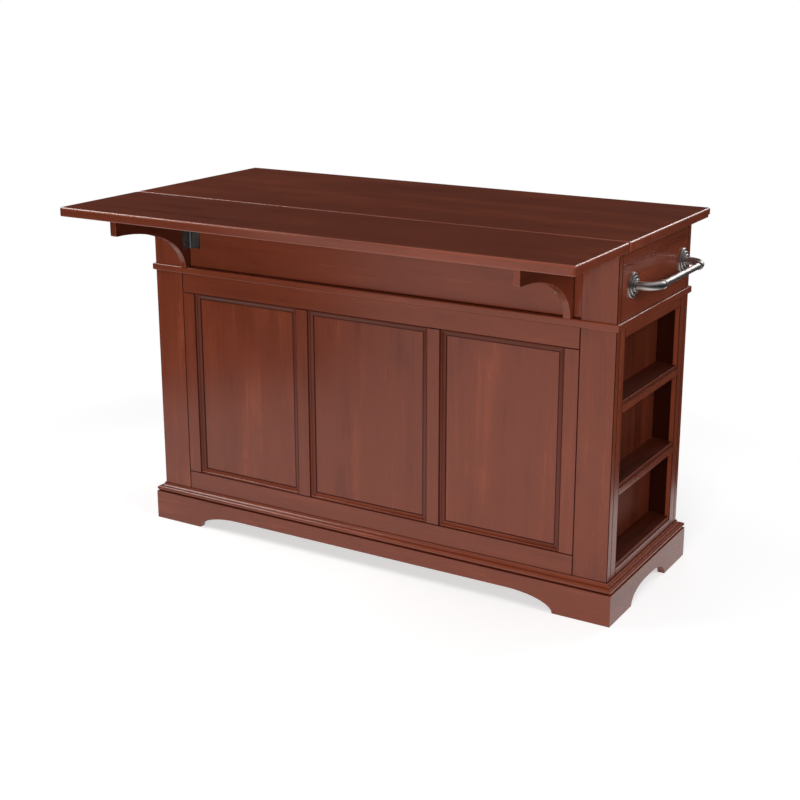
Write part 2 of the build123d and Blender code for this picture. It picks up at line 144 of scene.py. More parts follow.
class Nodes:
    """Short way to wire a material's or a world's nodes."""

    def __init__(self, tree: bpy.types.NodeTree) -> None:
        """Starts from an empty tree."""
        self.tree = tree
        tree.nodes.clear()

    def add(self, kind: str, **settings: object) -> bpy.types.Node:
        """Adds a node and sets its properties.

        Args:
            kind: node type, without the word that all of them start with.
            settings: property values by name.

        Returns:
            The new node.
        """
        node = self.tree.nodes.new(f"ShaderNode{kind}")
        for name, value in settings.items():
            setattr(node, name, value)
        return node

    def join(self, source: object, target: Socket) -> None:
        """Links a socket to another, or sets a constant.

        Args:
            source: output socket or constant.
            target: input socket.
        """
        if isinstance(source, Socket):
            self.tree.links.new(source, target)
        else:
            target.default_value = source

    def math(self, operation: str, first: object, second: object = 0.0, clamp: bool = False) -> Socket:
        """Adds a Math node.

        Args:
            operation: its operation.
            first: first value.
            second: second value.
            clamp: whether the result stays from 0 to 1.

        Returns:
            The node's value.
        """
        node = self.add("Math", operation=operation, use_clamp=clamp)
        self.join(first, node.inputs[0])
        self.join(second, node.inputs[1])
        return node.outputs[0]

    def times(self, first: object, second: object, clamp: bool = False) -> Socket:
        """Product of two values."""
        return self.math("MULTIPLY", first, second, clamp)

    def span(self, value: object, low: float, high: float, to_low: float = 0.0,
             to_high: float = 1.0) -> Socket:
        """Maps a range to another range, smoothly and within its limits.

        Args:
            value: value to map.
            low: start of the range.
            high: end of the range.
            to_low: result at low.
            to_high: result at high.

        Returns:
            The mapped value.
        """
        node = self.add("MapRange", interpolation_type="SMOOTHSTEP", clamp=True)
        for socket, number in zip(node.inputs, (value, low, high, to_low, to_high)):
            self.join(number, socket)
        return node.outputs[0]

    def weigh(self, terms: Iterable[tuple[Socket, float]], middle: float = MIDDLE) -> Socket:
        """Adds up values that lie about one half.

        Args:
            terms: values and their weights.
            middle: result where each value is one half.

        Returns:
            The sum.
        """
        terms = list(terms)
        total: object = middle - MIDDLE * sum(weight for _, weight in terms)
        for value, weight in terms:
            node = self.add("Math", operation="MULTIPLY_ADD")
            for number, socket in zip((value, weight, total), node.inputs):
                self.join(number, socket)
            total = node.outputs[0]
        return total

    def mix(self, factor: object, first: object, second: object) -> Socket:
        """Mixes two colours.

        Args:
            factor: share of the second.
            first: first colour.
            second: second colour.

        Returns:
            The mixed colour.
        """
        node = self.add("Mix", data_type="RGBA")
        self.join(factor, node.inputs[0])
        for value, socket in ((first, node.inputs[6]), (second, node.inputs[7])):
            self.join((*value, 1.0) if isinstance(value, tuple) else value, socket)
        return node.outputs[2]

    def bump(self, height: object, strength: float, distance: float) -> Socket:
        """Bump from a height.

        Args:
            height: height value.
            strength: its strength.
            distance: depth in metres.

        Returns:
            The normal.
        """
        node = self.add("Bump")
        for name, value in (("Strength", strength), ("Distance", distance), ("Height", height)):
            self.join(value, node.inputs[name])
        return node.outputs[0]

    def object_place(self) -> Socket:
        """Coordinates of the object that wears the material."""
        return self.add("TexCoord").outputs["Object"]


def new_material(name: str) -> tuple[Material, Nodes, bpy.types.Node]:
    """Material with a Principled shader wired to its output.

    Args:
        name: name of the material.

    Returns:
        The material, its nodes and the shader.
    """
    material = bpy.data.materials.new(name)
    material.use_nodes = True
    nodes = Nodes(material.node_tree)
    shader = nodes.add("BsdfPrincipled")
    nodes.join(shader.outputs[0], nodes.add("OutputMaterial").inputs["Surface"])
    return material, nodes, shader


@dataclass(frozen=True)
class Pattern:
    """Noise with its repeats in a metre along each axis, its octaves and how they mix."""

    repeats: Place
    octaves: float
    roughness: float = 0.55
    stir: float = 0.0

    def value(self, nodes: Nodes, place: Socket) -> Socket:
        """Wires the noise.

        Args:
            nodes: nodes of the material.
            place: coordinates in metres.

        Returns:
            The noise value, which lies about one half.
        """
        mapping = nodes.add("Mapping")
        nodes.join(place, mapping.inputs["Vector"])
        nodes.join(self.repeats, mapping.inputs["Scale"])
        noise = nodes.add("TexNoise", noise_dimensions="3D")
        nodes.join(mapping.outputs[0], noise.inputs["Vector"])
        for name, number in (("Scale", 1.0), ("Detail", self.octaves), ("Roughness", self.roughness),
                             ("Distortion", self.stir)):
            nodes.join(number, noise.inputs[name])
        return noise.outputs["Fac"]


@dataclass(frozen=True)
class WoodFinish:
    """Stained wood whose figure follows each board's own grain coordinates.

    The deep and pale colours and the tints are shares of the wood's colour. The weights are those of the
    figure, streaks, fibres, blotches and the board's tone in its shade. The glaze-and-shade tint is dark
    glaze at seams and painted shade in grooves, gaps and on faces in shadow; the rub tint is wear on arrises
    and painted highlights along them.
    """

    name: str
    colour: Colour
    roughness: float = 0.25
    specular: float = 0.5
    plank: float = 0.0
    contrast: float = 1.0
    marks: float = 0.6
    relief: float = 0.07
    unevenness: float = 1.0
    deep: Colour = (0.58, 0.53, 0.50)
    pale: Colour = (1.42, 1.50, 1.44)
    mark_tint: Colour = (0.36, 0.32, 0.30)
    glaze_and_shade_tint: Colour = (0.14, 0.11, 0.11)
    rub_and_highlight_tint: Colour = (1.7, 2.0, 2.2)
    figure: Pattern = Pattern((1.1, 13.0, 13.0), 3.0, 0.5, 0.6)
    streak: Pattern = Pattern((2.2, 62.0, 62.0), 3.0, 0.55, 0.2)
    fibre: Pattern = Pattern((11.0, 260.0, 260.0), 2.0, 0.6)
    blotch: Pattern = Pattern((3.6, 7.5, 7.5), 3.0, 0.6, 0.4)
    fleck: Pattern = Pattern((26.0, 330.0, 330.0), 1.0)
    pore: Pattern = Pattern((40.0, 1100.0, 1100.0), 1.0)
    weights: tuple[float, ...] = (0.58, 0.40, 0.22, 0.56, 0.12)
    plank_weight: float = 0.10
    shade_reach: float = 0.23
    fleck_span: Pair = (0.58, 0.74)
    pore_span: Pair = (0.58, 0.70)
    rub_and_highlight_span: Pair = (0.2, 0.6)
    fleck_cover: float = 0.30
    pore_cover: float = 0.25
    glaze_and_shade_cover: float = 0.9
    streak_roughness: float = 0.12
    blotch_roughness: float = 0.08
    glaze_and_shade_roughness: float = 0.2
    glaze_and_shade_dulling: float = 0.8
    fibre_height: float = 0.4
    depth: float = 0.4 * MM

    def tinted(self, share: Colour) -> Colour:
        """The finish's colour times a share of each channel."""
        red, green, blue = (value * part for value, part in zip(self.colour, share))
        return red, green, blue

    def plank_tone(self, nodes: Nodes, grain: Socket) -> Socket:
        """Chance tone of each plank that the board is glued up from.

        Args:
            nodes: nodes of the material.
            grain: grain coordinates.

        Returns:
            The tone, from 0 to 1.
        """
        across = nodes.add("SeparateXYZ")
        nodes.join(grain, across.inputs[0])
        number = nodes.math("FLOOR", nodes.math("DIVIDE", across.outputs[1], self.plank))
        lot = nodes.add("TexWhiteNoise", noise_dimensions="1D")
        nodes.join(number, lot.inputs["W"])
        return lot.outputs["Value"]

    def material(self) -> Material:
        """Builds the material: figure, streaks, flecks, blotches of stain, dark glaze and painted shade, and
        rubbed arrises with painted highlights.

        Returns:
            The material.
        """
        material, nodes, shader = new_material(self.name)
        grain = nodes.add("Attribute", attribute_name="grain").outputs["Vector"]
        tone = nodes.add("Attribute", attribute_name="tone").outputs["Fac"]
        # The edge attribute holds painted light: above zero dark glaze and painted shade, below zero rubbing
        # and painted highlights.
        edge = nodes.add("Attribute", attribute_name="edge").outputs["Fac"]
        figure, streak, fibre, blotch, fleck, pore = (
            pattern.value(nodes, grain)
            for pattern in (self.figure, self.streak, self.fibre, self.blotch, self.fleck, self.pore))
        flecks = nodes.span(fleck, *self.fleck_span)
        pores = nodes.span(pore, *self.pore_span)
        terms = list(zip((figure, streak, fibre, blotch, tone), self.weights))
        if self.plank:
            terms.append((self.plank_tone(nodes, grain), self.plank_weight))
        shade = nodes.weigh((value, weight * self.contrast) for value, weight in terms)
        low = nodes.span(shade, MIDDLE - self.shade_reach, MIDDLE)
        high = nodes.span(shade, MIDDLE, MIDDLE + self.shade_reach)
        colour = nodes.mix(low, self.tinted(self.deep), self.colour)
        colour = nodes.mix(high, colour, self.tinted(self.pale))
        marks = nodes.math("ADD", nodes.times(flecks, self.fleck_cover * self.marks),
                           nodes.times(pores, self.pore_cover * self.marks), True)
        colour = nodes.mix(marks, colour, self.tinted(self.mark_tint))
        # Painted shade: the dark tint in seams, grooves, gaps and on faces that lie in shadow.
        glaze_and_shade = nodes.times(edge, self.glaze_and_shade_cover, True)
        colour = nodes.mix(glaze_and_shade, colour, self.tinted(self.glaze_and_shade_tint))
        # Painted highlight: the pale tint on rubbed arrises, which also stands for the light that they catch.
        rubbed_and_highlit = nodes.times(nodes.times(edge, -1.0, True), nodes.span(streak, *self.rub_and_highlight_span))
        nodes.join(nodes.mix(rubbed_and_highlit, colour, self.tinted(self.rub_and_highlight_tint)), shader.inputs["Base Color"])
        rough = nodes.weigh([(streak, self.streak_roughness * self.unevenness),
                             (blotch, self.blotch_roughness * self.unevenness)], self.roughness)
        rough = nodes.math("ADD", rough, nodes.times(glaze_and_shade, self.glaze_and_shade_roughness))
        nodes.join(rough, shader.inputs["Roughness"])
        height = nodes.math("SUBTRACT", nodes.times(fibre, self.fibre_height), pores)
        nodes.join(nodes.bump(height, self.relief, self.depth), shader.inputs["Normal"])
        # Gloss is dulled under the painted shade too.
        dulled = nodes.times(glaze_and_shade, self.glaze_and_shade_dulling * self.specular)
        # The plain value stays below the link, for readers of the material that don't follow links.
        for gloss in (self.specular, nodes.math("SUBTRACT", self.specular, dulled)):
            nodes.join(gloss, shader.inputs["Specular IOR Level"])
        return material


@dataclass(frozen=True)
class MetalFinish:
    """Satin metal with a faint brushed grain and clouding."""

    name: str
    colour: Colour
    shadow: Colour
    roughness: float
    brush: Pattern
    cloud: Pattern = Pattern((38.0, 38.0, 38.0), 3.0)
    cloud_span: Pair = (0.3, 0.7)
    brush_start: float = -0.06
    brush_roughness: float = 0.14
    relief: float = 0.06
    depth: float = 0.2 * MM

    def material(self) -> Material:
        """Builds the material.

        Returns:
            The material.
        """
        material, nodes, shader = new_material(self.name)
        place = nodes.object_place()
        brush = self.brush.value(nodes, place)
        cloud = nodes.span(self.cloud.value(nodes, place), *self.cloud_span)
        nodes.join(nodes.mix(cloud, self.shadow, self.colour), shader.inputs["Base Color"])
        rough = nodes.times(brush, self.brush_roughness)
        rough = nodes.math("ADD", self.roughness + self.brush_start, rough)
        nodes.join(rough, shader.inputs["Roughness"])
        nodes.join(nodes.bump(brush, self.relief, self.depth), shader.inputs["Normal"])
        nodes.join(1.0, shader.inputs["Metallic"])
        return material


BODY_WOOD = WoodFinish("body_wood", (0.164, 0.0352, 0.0162), specular=0.42, contrast=0.70)
TOP_WOOD = WoodFinish("top_wood", (0.152, 0.0325, 0.0155), roughness=0.28, plank=0.096, contrast=0.78,
                      marks=0.45, relief=0.015, unevenness=0.2)
# The rack's wood is darker partly as painted shade for the rack's inside, which gets less light, and partly
# as a darker stain.
SHADED_RACK_WOOD = WoodFinish("rack_wood", (0.096, 0.0188, 0.0082), roughness=0.5, specular=0.15)
INSIDE_WOOD = WoodFinish("inside_wood", (0.46, 0.29, 0.155), roughness=0.5, deep=(0.74, 0.68, 0.62),
                         pale=(1.2, 1.25, 1.3))
NICKEL = MetalFinish("satin_nickel", (0.74, 0.70, 0.68), (0.60, 0.56, 0.54), 0.47,
                     Pattern((900.0, 60.0, 900.0), 3.0, 0.6))
STEEL = MetalFinish("hinge_steel", (0.29, 0.295, 0.285), (0.17, 0.175, 0.17), 0.40,
                    Pattern((700.0, 700.0, 60.0), 3.0, 0.6))


# Mesh work


def lies(axis: int, value: float, *points: Vector) -> bool:
    """Whether all points are at a value along a row axis."""
    return all(abs(point[axis] - value) < TOUCH for point in points)


def runs(axis: int, first: Vector, second: Vector) -> bool:
    """Whether an edge between two points runs along a row axis."""
    return abs(first[axis] - second[axis]) > APART


def any_edge(first: Vector, second: Vector) -> bool:
    """Test that every edge passes."""
    return True


def edges_of(verts: Iterable[Vert]) -> set[Edge]:
    """Edges that meet at some vertices."""
    return {edge for vert in verts for edge in vert.link_edges}


def faces_of(verts: Iterable[Vert]) -> set[Face]:
    """Faces that meet at some vertices."""
    return {face for vert in verts for face in vert.link_faces}


def picked(items: Iterable[object], kind: type) -> list:
    """The items of one kind."""
    return [item for item in items if isinstance(item, kind)]


def added(mesh: bmesh.types.BMesh, before: set[Vert]) -> list[Vert]:
    """Vertices that a mesh has gained."""
    return [vert for vert in mesh.verts if vert not in before]


def bearing(normal: Vector) -> tuple[float, ...]:
    """A normal in hundredths."""
    return tuple(round(part, 2) + 0.0 for part in normal)


def new_object(name: str, mesh: bmesh.types.BMesh, material: Material) -> bpy.types.Object:
    """Object in the scene, made from a mesh that is done.

    Args:
        name: name of the object.
        mesh: its mesh, which is freed.
        material: its material.

    Returns:
        The object.
    """
    data = bpy.data.meshes.new(name)
    mesh.to_mesh(data)
    mesh.free()
    data.materials.append(material)
    item = bpy.data.objects.new(name, data)
    bpy.context.scene.collection.objects.link(item)
    return item


@dataclass
class Piece:
    """One piece of the dressed part, collected in a mesh of its own.

    Edges over the sharp angle, in degrees, stay sharp.
    """

    name: str
    body: str
    slot: str
    material: Material
    nodes: tuple[str, ...] = ()
    sharp: float = 40.0
    mesh: bmesh.types.BMesh = field(default_factory=bmesh.new, init=False)

    def finish(self) -> bpy.types.Object:
        """Makes the object, with its material and body, and hides the nodes that it stands for.

        Returns:
            The object.
        """
        piece = new_object(self.name, self.mesh, self.material)
        piece.data.shade_smooth()
        piece.data.set_sharp_from_angle(angle=math.radians(self.sharp))
        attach(piece, self.body)
        if self.nodes:
            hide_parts(*self.nodes)
        LOG.info("%s: %d faces on %s", self.name, len(piece.data.polygons), self.body)
        return piece


@dataclass
class Joinery(Piece):
    """Piece made of boards and strips, each with grain coordinates and a tone of its own."""

    sharp: float = 50.0
    seed: int = 1
    grain_range: float = 30.0

    def __post_init__(self) -> None:
        """Adds the layers that hold the grain, the tone, the settled vertices and the painted light: dark
        glaze and shade, or rubbing and highlights.
        """
        layers = self.mesh.verts.layers
        self.grain_layer = layers.float_vector.new("grain")
        self.tone_layer = layers.float.new("tone")
        self.settled = layers.int.new("settled")
        # The edge layer holds painted shade with glaze above zero, and rubbing with painted highlights below
        # zero.
        self.shade_and_rub_layer = self.mesh.loops.layers.float.new("edge")
        self.chance = random.Random(self.seed)

    def fresh(self) -> list[Vert]:
        """Vertices of the board that isn't settled yet."""
        return [vert for vert in self.mesh.verts if not vert[self.settled]]

    def fresh_edges(self, test: Callable[[Vector, Vector], bool]) -> list[Edge]:
        """Edges of the board in work whose two ends pass a test.

        Args:
            test: takes the places of both ends.

        Returns:
            The edges, in order of place.
        """
        found = [edge for edge in edges_of(self.fresh()) if test(edge.verts[0].co, edge.verts[1].co)]
        return sorted(found, key=lambda edge: (*edge.verts[0].co, *edge.verts[1].co))

    def round_edges(self, edges: list[Edge], radius: float, segments: int = 3, shade_or_rub: float = 0.0) -> None:
        """Rounds edges.

        Args:
            edges: edges to round.
            radius: radius in metres.
            segments: faces across the rounding.
            shade_or_rub: 1 for dark glaze and painted shade in the rounding, -1 for a rubbed one with a
                painted highlight.
        """
        # A positive share paints glaze and shade on the roundings, a negative one rubs them pale as a painted
        # highlight.
        flats = self.bearings() if shade_or_rub else set()
        bmesh.ops.bevel(self.mesh, geom=edges, offset=radius, offset_type="OFFSET", segments=segments,
                        profile=0.5, affect="EDGES", material=-1, clamp_overlap=True)
        if shade_or_rub:
            self.shade_or_rub_faces(lambda normal: bearing(normal) not in flats, shade_or_rub)

    def bearings(self) -> set[tuple[float, ...]]:
        """Normals of the board in work, in hundredths."""
        self.mesh.normal_update()
        return {bearing(face.normal) for face in faces_of(self.fresh())}

    def glaze_and_shade(self, test: Callable[[Vector], bool], share: float) -> None:
        """Paints dark glaze and shade on the board in work wherever its corners pass a test.

        Args:
            test: takes the place of a corner.
            share: how dark it is, from 0 to 1.
        """
        for vert in self.fresh():
            if test(vert.co):
                for loop in vert.link_loops:
                    loop[self.shade_and_rub_layer] = share

    def shade_or_rub_faces(self, test: Callable[[Vector], bool], share: float) -> None:
        """Paints dark glaze and shade on whole faces of the board in work, or rubs them pale with a painted
        highlight.

        Args:
            test: takes a face's normal.
            share: how dark it is, from 0 to 1, or how far it is rubbed, from 0 to -1.
        """
        self.mesh.normal_update()
        for face in faces_of(self.fresh()):
            if test(face.normal):
                for loop in face.loops:
                    loop[self.shade_and_rub_layer] = share

    def cube(self, low: Vector, high: Vector) -> None:
        """Adds a plain box to the board in work.

        Args:
            low: lowest corner.
            high: highest corner.
        """
        size = high - low
        place = Matrix.Translation((low + high) / 2) @ Matrix.Diagonal((*size, 1.0))
        bmesh.ops.create_cube(self.mesh, size=1.0, matrix=place)

    def prism(self, outline: Iterable[Vector], along: Vector) -> None:
        """Adds an outline and extrudes it.

        Args:
            outline: corners in order.
            along: way and length of the extrusion.
        """
        verts = [self.mesh.verts.new(point) for point in outline]
        face = self.mesh.faces.new(verts)
        moved = picked(bmesh.ops.extrude_face_region(self.mesh, geom=[face])["geom"], Vert)
        bmesh.ops.translate(self.mesh, verts=moved, vec=along)
        faces = sorted(faces_of(verts + moved), key=lambda item: tuple(item.calc_center_median()))
        bmesh.ops.recalc_face_normals(self.mesh, faces=faces)

    def cut(self, point: Vector, normal: Vector) -> None:
        """Cuts the board in work and closes the cut.

        Args:
            point: point of the cutting plane.
            normal: normal of the plane, on the side that goes.
        """
        verts = self.fresh()
        result = bmesh.ops.bisect_plane(
            self.mesh, geom=[*verts, *edges_of(verts), *faces_of(verts)], plane_co=point, plane_no=normal,
            dist=TOUCH / 10, clear_outer=True)
        bmesh.ops.edgeloop_fill(self.mesh, edges=picked(result["geom_cut"], Edge))

    def mitre(self, length: float) -> None:
        """Cuts both ends of a strip along X at 45 degrees, to the length of its inner edge.

        Args:
            length: length of the edge at Y = 0, with X = 0 at its middle.
        """
        for way in (-1, 1):
            self.cut(Vector((way * length / 2, 0, 0)), Vector((way, 1, 0)).normalized())

    def place(self, matrix: Matrix) -> None:
        """Moves the board in work."""
        bmesh.ops.transform(self.mesh, matrix=matrix, verts=self.fresh())

    def settle(self, grain: Grain) -> None:
        """Gives the board in work its grain coordinates and tone, and ends the work on it.

        Args:
            grain: the way of its fibres.
        """
        offset = Vector([self.chance.uniform(0.0, self.grain_range) for _ in range(3)])
        tone = self.chance.random()
        for vert in self.fresh():
            vert[self.grain_layer] = offset + Vector([vert.co[axis] for axis in grain.value])
            vert[self.tone_layer] = tone
            vert[self.settled] = 1

    def board(self, low: Vector, high: Vector, ease: float, grain: Optional[Grain] = None) -> None:
        """Adds a board with eased arrises that hold dark glaze and painted shade, as in the seams between
        boards.

        Args:
            low: lowest corner.
            high: highest corner.
            ease: radius of the arrises in metres.
            grain: way of its fibres, the longest side's if left out.
        """
        self.cube(low, high)
        self.round_edges(self.fresh_edges(any_edge), ease, 2, FULL_GLAZE_AND_SHADE)
        self.settle(grain or Grain.longest(low, high))

    def finish(self) -> bpy.types.Object:
        """Makes the object, with even shading on its flat faces.

        Returns:
            The object.
        """
        piece = super().finish()
        piece.data.attributes.remove(piece.data.attributes["settled"])
        normals = piece.modifiers.new("even_faces", "WEIGHTED_NORMAL")
        normals.keep_sharp = True
        return piece


def solid_boxes(node: str) -> list[Box]:
    """Boxes of a CAD node's separate solids.

    Args:
        node: name of the node.

    Returns:
        The boxes, in order of place.
    """
    copy = bmesh.new()
    copy.from_mesh(frame["nodes"][node].data)
    bmesh.ops.remove_doubles(copy, verts=copy.verts[:], dist=TOUCH)
    left = set(copy.verts)
    boxes = []
    while left:
        island = {left.pop()}
        front = list(island)
        while front:
            near = {edge.other_vert(vert) for vert in front for edge in vert.link_edges} & left
            left -= near
            island |= near
            front = list(near)
        corners = [vert.co for vert in island]
        boxes.append((Vector(map(min, zip(*corners))), Vector(map(max, zip(*corners)))))
    copy.free()
    return sorted(boxes, key=lambda box: (*box[0], *box[1]))


def arc_points(centre: Vector, start: Place, axis: str, degrees: float, steps: int,
               reach: Place) -> list[Vector]:
    """Points of an elliptical arc, made by spinning a vertex.

    Args:
        centre: middle of the arc.
        start: way from the middle to the first point.
        axis: row axis of the turn.
        degrees: angle of the turn.
        steps: number of steps.
        reach: how far the arc reaches along each axis.

    Returns:
        The points in order.
    """
    work = bmesh.new()
    vert = work.verts.new(start)
    turn = Vector((axis == "X", axis == "Y", axis == "Z"))
    bmesh.ops.spin(work, geom=[vert], cent=(0, 0, 0), axis=turn, angle=math.radians(degrees), steps=steps)
    bmesh.ops.scale(work, verts=work.verts[:], vec=reach)
    points = [centre + item.co for item in work.verts]
    work.free()
    return points


@dataclass
class Assembly:
    """Sub-assembly that takes its finishes by their slots."""

    finishes: dict[str, Material]

    def wood(self, node: str, kind: str, seed: int, slot: str = "body_wood",
             body: str = "carcass") -> Joinery:
        """Starts a wooden piece that stands for a CAD node."""
        return Joinery(f"{node}_{kind}", body, slot, self.finishes[slot], (node,), seed=seed)


# Woodwork


@dataclass
class PlainBoards(Assembly):
    """Pieces whose solids are plain boards: one eased board for each solid."""

    ease: float = 1.6 * MM
    fine_ease: float = 0.6 * MM
    first_seed: int = 11
    body_nodes: tuple[str, ...] = (
        "post_front_left", "post_front_right", "post_back_left", "post_back_right", "front_rails",
        "front_stiles", "frieze_front", "frieze_left", "frieze_right", "back_rails", "back_stiles",
        "rack_stiles", "rack_rails")
    panel_nodes: tuple[str, ...] = (
        "front_panel_left", "front_panel_centre", "front_panel_right", "left_end_panel")
    rack_nodes: tuple[str, ...] = ("rack_back",)
    inside_nodes: tuple[str, ...] = (
        "floor_board", "dust_board", "centre_partition", "cupboard_shelves", "shelf_battens")

    def build(self) -> None:
        """Builds all the plain boards of the carcass."""
        sets = ((self.body_nodes, "body_wood", self.ease), (self.panel_nodes, "body_wood", self.fine_ease),
                (self.rack_nodes, "rack_wood", self.fine_ease),
                (self.inside_nodes, "inside_wood", self.fine_ease))
        boards = [(node, slot, ease) for nodes, slot, ease in sets for node in nodes]
        for seed, (node, slot, ease) in enumerate(boards, self.first_seed):
            piece = self.wood(node, "boards", seed, slot)
            for low, high in solid_boxes(node):
                piece.board(low, high, ease)
            piece.finish()


@dataclass
class LeftEnd(Assembly):
    """Frame of the left end: two stiles, with two rails between them round the panel."""

    ease: float = 1.6 * MM
    seed: int = 45

    def build(self) -> None:
        """Builds the frame's boards as one piece."""
        node = "left_end_frame"
        piece = self.wood(node, "boards", self.seed)
        low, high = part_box(node)
        near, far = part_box("left_end_panel")
        for first, second in (
                (low, (high.x, near.y, high.z)), ((low.x, far.y, low.z), high),
                ((low.x, near.y, far.z), (high.x, far.y, high.z)),
                ((low.x, near.y, low.z), (high.x, far.y, near.z))):
            piece.board(Vector(first), Vector(second), self.ease)
        piece.finish()


@dataclass
class Tops(Assembly):
    """Main top with a rabbet under its back edge, and the drop leaf."""

    corner: float = 5.5 * MM
    joint_corner: float = 2.6 * MM
    arris: float = 5.0 * MM
    under: float = 3.0 * MM
    # Rubbed arrises are partly wear and partly painted highlights; the main top's joint edges take a painted
    # highlight, the leaf's joint edges painted shade.
    rub_and_highlight: float = 0.6
    joint_corner_highlight: float = 0.9
    leaf_joint_shade: float = 0.8
    rabbet_depth: float = 15.0 * MM
    rabbet_height: float = 7.0 * MM
    steps: int = 5
    joint_steps: int = 3
    seed: int = 40

    def build(self) -> None:
        """Builds the main top and the leaf."""
        self.slab("main_top", "carcass", True)
        self.slab("drop_leaf", "leaf", False)

    def slab(self, node: str, body: str, rabbet: bool) -> None:
        """Builds one slab. Its outer edges are rounded before those of the joint.

        Args:
            node: CAD node that it stands for.
            body: body that it rides on.
            rabbet: whether its back edge is rabbeted below.
        """
        piece = self.wood(node, "slab", self.seed + rabbet, "top_wood", body)
        low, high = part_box(node)
        outline = [(low.y, low.z), (low.y, high.z), (high.y, high.z)]
        if rabbet:
            step_y = high.y - self.rabbet_depth
            step_z = low.z + self.rabbet_height
            outline += [(high.y, step_z), (step_y, step_z), (step_y, low.z)]
        else:
            outline.append((high.y, low.z))
        piece.prism([Vector((low.x, y, z)) for y, z in outline], Vector((high.x - low.x, 0, 0)))
        joint, outer = (low.y, high.y) if rabbet else (high.y, low.y)
        uprights = piece.fresh_edges(lambda *ends: runs(2, *ends) and lies(1, outer, *ends))
        piece.round_edges(uprights, self.corner, self.steps)
        for level, radius in ((high.z, self.arris), (low.z, self.under)):
            rim = piece.fresh_edges(lambda *ends: lies(2, level, *ends) and not lies(1, joint, *ends))
            piece.round_edges(rim, radius, self.steps, -self.rub_and_highlight)
        # The joint: a painted highlight on the main top's edges, painted shade on the leaf's edges, and full
        # painted shade on the faces in the gap.
        piece.round_edges(piece.fresh_edges(lambda *ends: lies(1, joint, *ends)), self.joint_corner,
                          self.joint_steps, -self.joint_corner_highlight if rabbet else self.leaf_joint_shade)
        piece.glaze_and_shade(lambda place: lies(1, joint, place), FULL_GLAZE_AND_SHADE)
        piece.settle(Grain.X)
        piece.finish()


